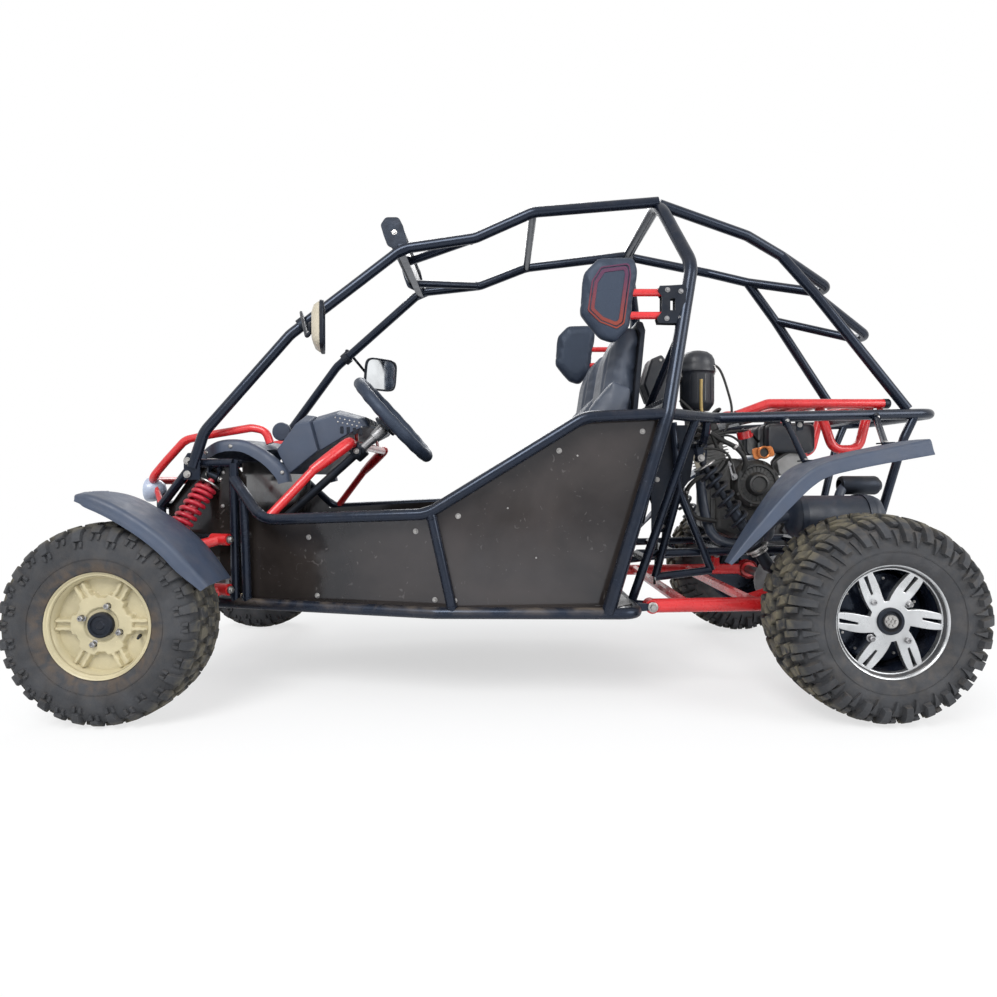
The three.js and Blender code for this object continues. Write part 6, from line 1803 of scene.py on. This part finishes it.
def exhaust():
    """Muffler with straps and hangers, header pipe and a short resonator."""
    backwards = (-1, 0, 0)
    turned("muffler_can", EXHAUST, MUFFLER_PROFILE, at(-795, 330, 527), backwards, 64, replaces="muffler")
    pipes = Shape().pipe(smooth_route(HEADER), 16.5)
    pipes.pipe(smooth_route(OUTLET), 14, 18)
    pipes.put("exhaust_pipes", EXHAUST, sharp=50)
    turned("tail_pipe", SATIN, [
        (0, 18), (4, 27), (10, 29.5), (112, 29.5), (118, 27), (124, 20), (126, 15), (126, 12.5), (110, 12.5),
    ], at(-985, 262, 622), backwards, 44, False, slot="engine")
    straps = Shape().collar(1.5, 12.8, 16.5, at(-1112, 262, 622), backwards, 32, False)
    for x in (-826, -1026):
        straps.collar(9, 65.5, 67.5, at(x, 330, 527), (1, 0, 0), 56, False)
    straps.put("muffler_straps", EXHAUST)
    hangers = Shape()
    outer = ((262, 584), (292, 592), (330, 596), (330, 590), (292, 585), (262, 577))
    inner = ((206, 560), (262, 584), (262, 577), (206, 552))
    for x in (-830, -1020):
        for section in (outer, inner):
            hangers.rings([[at(x + dx, y, z) for y, z in section] for dx in (-11, 11)])
    hangers.put("muffler_hangers", SATIN, sharp=30, bevel=0.8)


def fuel_tank():
    """Ribbed tank with a knurled cap and two straps."""
    levels = [(-150, 12), (-146, 4), (-138, 0), (-60, 0), (-56, 2.5), (-48, 2.5), (-44, 0)]
    levels += [(-y, inset) for y, inset in levels[::-1]]
    tank = Shape().cast([(-806, 728), (-965, 728), (-965, 826), (-806, 826)], levels, corner=20)
    tank.put("tank_body", PLASTIC_DARK, replaces="fuel_tank")
    neck = at(-905, -70, 826)
    cap = Shape().lathe([(-4, 30), (4, 30), (6, 27), (22, 27), (26, 23), (27, 0)], neck, (0, 0, 1), 40)
    for turn in turns(18):
        cap.pipe([neck + level(turn) * 27.2 + mm(0, 0, 8), neck + level(turn) * 26.8 + mm(0, 0, 20)], 1.4, 6)
    cap.put("tank_cap", SATIN, "plastic", sharp=40)
    straps = Shape()
    band = rounded_outline([(-802, 724), (-969, 724), (-969, 830), (-802, 830)], 20)
    for y in (-100, 100):
        straps.rings([[at(x, y + dy, z) for x, z in band] for dy in (-12, 12)], capped=False)
    straps.put("tank_straps", SATIN, sharp=60)


# ---------------------------------------------------------------- rack and cradle

RACK_Y, RACK_Z = 205, 885
CRADLE_PLATE = [(-405, 815), (-520, 815), (-548, 760), (-530, 640), (-500, 600), (-470, 470), (-405, 470)]


def rack():
    """Red tubes with end caps, on two brackets."""
    tubes, caps, brackets, bolts = (Shape() for _ in range(4))
    for hand in SIDES.values():
        route = [at(-682, RACK_Y, 847, hand), at(-783, RACK_Y, RACK_Z, hand), at(-1162, RACK_Y, RACK_Z, hand)]
        tubes.pipe(rounded(route, 50), 15.5)
        loop = ((-960, RACK_Z), (-1008, 738), (-1092, 738), (-1128, RACK_Z))
        tubes.pipe(rounded([at(x, 175, z, hand) for x, z in loop], 45), 15)
        end = at(-1156, RACK_Y, RACK_Z, hand)
        caps.lathe([(0, 16.2), (16, 16.2), (20, 13), (21, 0)], end, (-1, 0, 0), 24)
        brackets.plate([(-846, 830), (-874, 834), (-870, 796), (-852, 792)], 262, 268, hand)
        bolts.bolt(at(-860, 268, 812, hand), (0, hand, 0), 5.5)
    for x in (-800, -885, -960, -1128):
        tubes.pipe([at(x, y, RACK_Z) for y in (-RACK_Y, 0, RACK_Y)], 12.2, 18)
    tubes.put("rack_tubes", RED, sharp=50)
    caps.put("rack_end_caps", SATIN, sharp=45)
    brackets.put("rail_brackets", SATIN, sharp=30)
    bolts.put("rack_bolts", ZINC)


def cradle():
    """Bars and side plates of the engine cradle."""
    bars, plates, bolts = Shape(), Shape(), Shape()
    top, middle, back, front = (-470, 232, 822), (-490, 232, 607), (-592, 232, 351), (-413, 232, 329)
    for hand in SIDES.values():
        for start, end in ((top, middle), (middle, back), (middle, front), (back, front)):
            bars.pipe([at(*start, hand), at(*end, hand)], 12.5, 18)
        plates.plate(CRADLE_PLATE, 212, 215, hand)
        for x, z in ((-420, 790), (-520, 770), (-424, 640), (-440, 490)):
            bolts.bolt(at(x, 215, z, hand), (0, hand, 0), 5.5)
    bars.put("cradle_bars", BLACK, sharp=50)
    plates.put("cradle_side_plates", SATIN, sharp=30)
    bolts.put("cradle_plate_bolts", ZINC)


def dash_hoop_sleeve(side, hand):
    """The red sleeve on the dash hoop's lower end."""
    head, foot = at(548, 320, 750, hand), at(640, 384, 668, hand)
    reach = (foot - head).length * 1000
    profile = [(-22, 0), (-21, 8), (-14, 15), (-2, 18.5), (20, 19)]
    profile += [(reach * 0.6, 18), (reach, 14.5), (reach + 4, 13)]
    turned(f"dash_hoop_sleeve_{side}", RED, profile, head, foot - head, 32, sharp=50)


# ---------------------------------------------------------------- the whole kart

wheels()
frame_loops()
welds()
cowl()
dashboard()
horn()
steering_wheel()
steering_column()
light_bar()
panel_fixings()
nose_sheets()
casings()
cylinder()
engine_fittings()
hoses()
carburettor()
air_filter()
snorkel()
air_box()
exhaust()
fuel_tank()
rack()
cradle()
INLAY = inlay_look()
for side, hand in SIDES.items():
    frame_sides(side, hand)
    shock(FRONT_SHOCK, side, hand)
    shock(REAR_SHOCK, side, hand)
    arm("upper", side, hand)
    arm("lower", side, hand)
    shock_mount(side, hand)
    swing_arm(side, hand)
    front_fender(side, hand)
    rear_fender(side, hand)
    seat(side, hand)
    shoulder_pad(side, hand, INLAY)
    headlight(side, hand)
    mirror(side, hand)
    dash_hoop_sleeve(side, hand)
